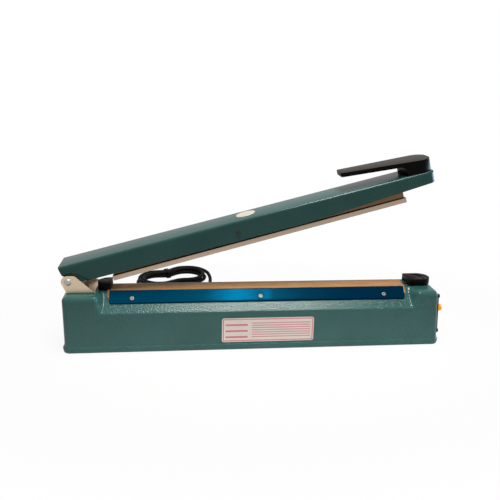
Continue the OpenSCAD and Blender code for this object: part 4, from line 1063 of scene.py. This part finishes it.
def slab(loop, low, high, at_loop):
    """A flat piece over a loop, between two heights."""
    points = [at_loop(a, b, out) for out in (low, high) for a, b in loop]
    return points, ring_faces(2, len(loop)) + end_faces(points, len(loop))


knob_gap = 0.6
knob_h = 12
knob_face = panel_t + knob_gap + knob_h
pointer_half = 0.5
pointer_low = knob_face - 0.85
pointer_high = knob_face - 0.25
pointer = rounded_loop(-8.4, -1.5, -pointer_half, pointer_half, 0.45, 3)
points, faces = slab(pointer, pointer_low, pointer_high, on_dial)
add_piece("knob_pointer", points, faces, print_white, "knob")

# Works inside the base: transformer, timer board, pot, lamp holder and the microswitch under the hinge.
# They are closed in by the shell and the bottom plate.
pale_plastic = mottled("pale_plastic", srgb(206, 204, 196), srgb(226, 224, 218), 120, 3, 0.4, 0.4)
grey_plastic = mottled("grey_plastic", srgb(78, 80, 86), srgb(108, 110, 116), 120, 3, 0.4, 0.4)
circuit, nodes, shader = new_finish("circuit_board", specular_ior_level=0.5)
at = place_on(nodes)
tracks = nodes.node("TexBrick", None, {"Vector": at, "Scale": 180.0, "Color1": srgb(28, 92, 54),
                                       "Color2": srgb(36, 108, 62), "Mortar": srgb(60, 140, 84)})
nodes.feed(shader.inputs["Base Color"], tracks)
nodes.feed(shader.inputs["Roughness"], 0.3 + noise(nodes, at, 200) * 0.2)
iron = brushed("core_iron", srgb(98, 98, 104), (2, 90, 2), 0.42)
copper = brushed("coil_copper", srgb(190, 120, 66), (4, 4, 120), 0.34)
for node in ("lamp_holder", "switch_plunger"):
    soften(node, pale_plastic, 0.2)
for node in ("timer_pot", "board_parts"):
    soften(node, grey_plastic, 0.3)
soften("timer_board", circuit, 0.1)
soften("switch_body", black_mould, 0.3)
soften("transformer_core", iron, 0.2)
soften("transformer_coil", copper, 1.0)
soften("plunger_guide", brass, 0.2)
for node in ("board_posts", "transformer_frame", "transformer_screws", "switch_bracket"):
    soften(node, zinc, 0.2)

# Press arm: a channel folded from steel sheet in the same hammered enamel painted darker as painted shade,
# open below, with a round-cornered tip.
# Its sides are pressed in round the bracket's ears, and its lower edges rise towards the tip.
arm_len = 521.4
arm_half = 24.3
arm_top = 23.0
arm_drop = 4.4
arm_fold = 3.0
arm_tip = 10.0
taper_len = 186
taper_start = arm_len - taper_len
taper_rise = 11.2
arm_back = 6.3
rear_end = 14
pin_wall = 8.0
knee_angle = math.radians(58)
knee_rise = 2
knee = pin_wall * math.sin(knee_angle) + knee_rise
ear_end = 35.6
press_depth = 2.4
press_margin = 2.3
press_soft = 3.2
press_end = 60


def on_arm(u, y, w):
    c = math.cos(open_angle)
    s = math.sin(open_angle)
    return place(pin_x + u * c - w * s, y, pin_z + u * s + w * c)


def ear_distance(u, w):
    """Distance outside the ear's outline, below zero within it."""
    past_flat = u - ear_flat
    if u < 0:
        reach = math.hypot(u, max(w, 0))
    elif past_flat <= 0:
        reach = w
    elif w > 0 and math.atan2(past_flat, w) < ear_slant:
        reach = math.hypot(past_flat, w)
    else:
        reach = past_flat * math.sin(ear_slant) + w * math.cos(ear_slant)
    return max(reach - ear_r, u - ear_end)


def lower_edge(u):
    return -arm_drop + taper_rise * max(u - taper_start, 0) / taper_len


def rear_edge(w):
    """Where the arm's side starts behind the pin, at a height above the pin's line."""
    if w > knee:
        share = (w - knee) / (arm_top - knee)
        return -pin_wall * math.cos(knee_angle) * (1 - share) - arm_back * share
    return -math.sqrt(max(pin_wall ** 2 - min(w, pin_wall * 0.98) ** 2, 0))


side_us = [-arm_back, -4, -1.5, 1, 3.5, 6, 9]
side_us += [12 + 1.5 * i for i in range(34)]
side_us += [66, 75, 90, 110, 130, 150, 180, 210, 240, 270, 300, 320, taper_start]
side_us += [350, 370, 400, 430, 460, 490, 505]
path = [(u, -arm_half, 0.0, -1.0) for u in side_us]
tip_steps = 10
for i in range(tip_steps + 1):
    a = math.radians(-90 + 90 * i / tip_steps)
    path.append((arm_len - arm_tip + arm_tip * math.cos(a), -arm_half + arm_tip + arm_tip * math.sin(a),
                 math.cos(a), math.sin(a)))
path += [(arm_len, y, 1.0, 0.0) for y in (-9, -4)]
path += [(u, -y, nu, -ny) for u, y, nu, ny in reversed(path)]
wall_rows = 26
fold_rows = 6
points = []
for u0, y0, nu, ny in path:
    low = lower_edge(u0)
    for k in range(wall_rows + fold_rows):
        if k < wall_rows:
            w = low + (arm_top - arm_fold - low) * k / (wall_rows - 1)
            back = 0.0
        else:
            a = math.radians(90 * (k - wall_rows + 1) / fold_rows)
            w = arm_top - arm_fold + arm_fold * math.sin(a)
            back = arm_fold * (1 - math.cos(a))
        u = u0
        if u0 < rear_end:
            share = (u0 + arm_back) / (rear_end + arm_back)
            u = rear_edge(w) * (1 - share) + rear_end * share
        if abs(nu) < 0.01 and u < press_end:
            near = ear_distance(u, w) - press_margin
            back += press_depth * eased(0.5 - near / press_soft)
        points.append(on_arm(u - nu * back, y0 - ny * back, w))
rows = wall_rows + fold_rows
faces = ring_faces(len(path), rows, closed=False)
half_count = len(path) // 2
for i in range(half_count - 1):
    a = i * rows + rows - 1
    b = (i + 1) * rows + rows - 1
    c = (len(path) - 2 - i) * rows + rows - 1
    d = (len(path) - 1 - i) * rows + rows - 1
    faces.append((a, b, c, d))
# A darker copy of the base's enamel: painted shade on the arm.
arm_enamel_painted_shade = hammered("arm_enamel_painted_shade", srgb(24, 66, 64), srgb(44, 90, 86), 0.06, 0.28)
arm_shell = add_piece("arm_shell", points, faces, arm_enamel_painted_shade, "arm", 45)
thicken(arm_shell, steel_t)
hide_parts("press_arm")
for node in ("switch_tab", "switch_screw", "bar_spacers", "handle_screws"):
    soften(node, zinc, 0.25)
soften("bar_pin", brushed("rivet_black", srgb(70, 66, 62), (20, 20, 20), 0.4), 0.4)

# Handle: one black moulding that widens to the arm's tip, with a finger gap under its grip.
# Two screws from inside the arm hold its post, and its upward faces are painted a paler, warmer grey as a
# painted sheen from the light above.
handle_black, nodes, shader = new_finish("handle_black", specular_ior_level=0.05)
mould_tone = moulded(nodes, shader)
upward = nodes.node("SeparateXYZ", None, {0: nodes.node("TexCoord", out="Normal")}, out="Z")
# Painted sheen: faces that point up are painted a paler grey.
top_sheen_share = soft_step(nodes, upward, 0.7, 0.95)
black_tone = mould_tone.mix(mould_dark, srgb(18, 16, 15))
painted_sheen_tone = mould_tone.mix(srgb(40, 36, 33), srgb(54, 50, 45))
nodes.feed(shader.inputs["Base Color"], top_sheen_share.mix(black_tone, painted_sheen_tone))
soften("handle", handle_black, 1.4, 25, 4)

# Pressure bar: an aluminium extrusion of inverted T section that rocks on a cross pin in the arm. Its web
# is painted a darker brown as painted shade under the arm and a painted reflection of the brown tape, and a
# strip of white silicone rubber fills the groove in its foot.
bar_pin_u = 239.75
bar_pin_w = 5.8
foot_below_pin = 16.9
bar_tilt = math.radians(0.37)
bar_angle = open_angle + bar_tilt
bar_up = Vector((-math.sin(bar_angle), 0, math.cos(bar_angle)))
foot_top = on_arm(bar_pin_u, 0, bar_pin_w).dot(bar_up) - foot_below_pin * mm
bar_metal, nodes, shader = new_finish("bar_aluminium", metallic=1.0)
grain = rolled_grain(nodes, shader, (3, 60, 60), 0.3)
height = nodes.node("VectorMath", {"operation": "DOT_PRODUCT"}, {0: place_on(nodes), 1: bar_up}, out="Value")
foot_tone = grain.mix(srgb(178, 156, 138), srgb(208, 186, 166))
# Painted shade and painted reflection: the web above the foot's top is painted a darker brown.
web_painted_shade_tone = grain.mix(srgb(120, 91, 66), srgb(146, 115, 86))
nodes.feed(shader.inputs["Base Color"], (height > foot_top).mix(foot_tone, web_painted_shade_tone))
soften("pressure_bar", bar_metal, 0.4)
silicone = mottled("silicone_white", srgb(206, 200, 188), srgb(226, 222, 212), 150, 3, 0.5, 0.35)
soften("silicone_strip", silicone, 0.3)

# Plain plates: a pale plate with a rose border and ruled boxes on the front wall, and a blank round
# sticker on the arm. Both are thin printed film.
plate_x0 = -49.3
plate_x1 = 80.5
plate_z0 = 12.0
plate_z1 = 47.5
plate_corner = 3.0
film_t = 0.25
film_sunk = -0.2
border_from = 1.2
border_to = 2.6
ruled_from = 5.0
line_step = 3.4
line_share = 0.34
wide_step = 9.0
wide_share = 0.3
wide_start = plate_z0 + 6
left_box = plate_x0 + 42
left_rows_end = plate_x0 + 36


def on_front(x, z, out):
    bulge = wall_lean * (fold_z - z) / (fold_z - lip_top)
    return place(x, -half_depth - bulge - out, z)


printed, nodes, shader = new_finish("printed_film", specular_ior_level=0.5, coat_weight=0.3)
at = place_on(nodes)
across = nodes.node("SeparateXYZ", None, {0: at}, out="X") * 1000 - base_shift
up = nodes.node("SeparateXYZ", None, {0: at}, out="Z") * 1000
to_side = (plate_x1 - plate_x0) / 2 - abs(across - (plate_x0 + plate_x1) / 2)
to_top = (plate_z1 - plate_z0) / 2 - abs(up - (plate_z0 + plate_z1) / 2)
to_edge = nodes.math("MINIMUM", to_side, to_top)
border = (to_edge > border_from) * (to_edge < border_to)
lines = (nodes.math("FRACT", (up - plate_z0) * (1 / line_step)) < line_share) * (across > left_box)
wide_rows = nodes.math("FRACT", (up - wide_start) * (1 / wide_step)) < wide_share
short_rows = wide_rows * (across < left_rows_end)
mark = nodes.math("MAXIMUM", border, (to_edge > ruled_from) * (lines + short_rows))
fade = noise(nodes, at, 60, 3)
paper = fade.mix(srgb(244, 226, 218), srgb(252, 240, 232))
nodes.feed(shader.inputs["Base Color"], mark.mix(paper, srgb(226, 128, 138)))
nodes.feed(shader.inputs["Roughness"], 0.3 + fade * 0.2)
plate_outline = rounded_loop(plate_x0, plate_x1, plate_z0, plate_z1, plate_corner)
points, faces = slab(plate_outline, film_sunk, film_t, on_front)
add_piece("front_plate", points, faces, printed, "base")

sticker_film = mottled("sticker_film", srgb(196, 190, 178), srgb(218, 212, 202), 90, 3, 0.35, 0.5)
sticker_at = (256.5, 4)
sticker_r = 13.5
sticker_sides = 48
sticker_thin = 0.6
sticker_outline = []
for k in range(sticker_sides):
    a = 2 * math.pi * k / sticker_sides
    u = sticker_at[0] + sticker_r * math.cos(a)
    y = sticker_at[1] + sticker_r * math.sin(a)
    sticker_outline.append((u, y))


def on_arm_top(u, y, out):
    return on_arm(u, y, arm_top + out * sticker_thin)


points, faces = slab(sticker_outline, film_sunk, film_t, on_arm_top)
add_piece("round_sticker", points, faces, sticker_film, "arm")
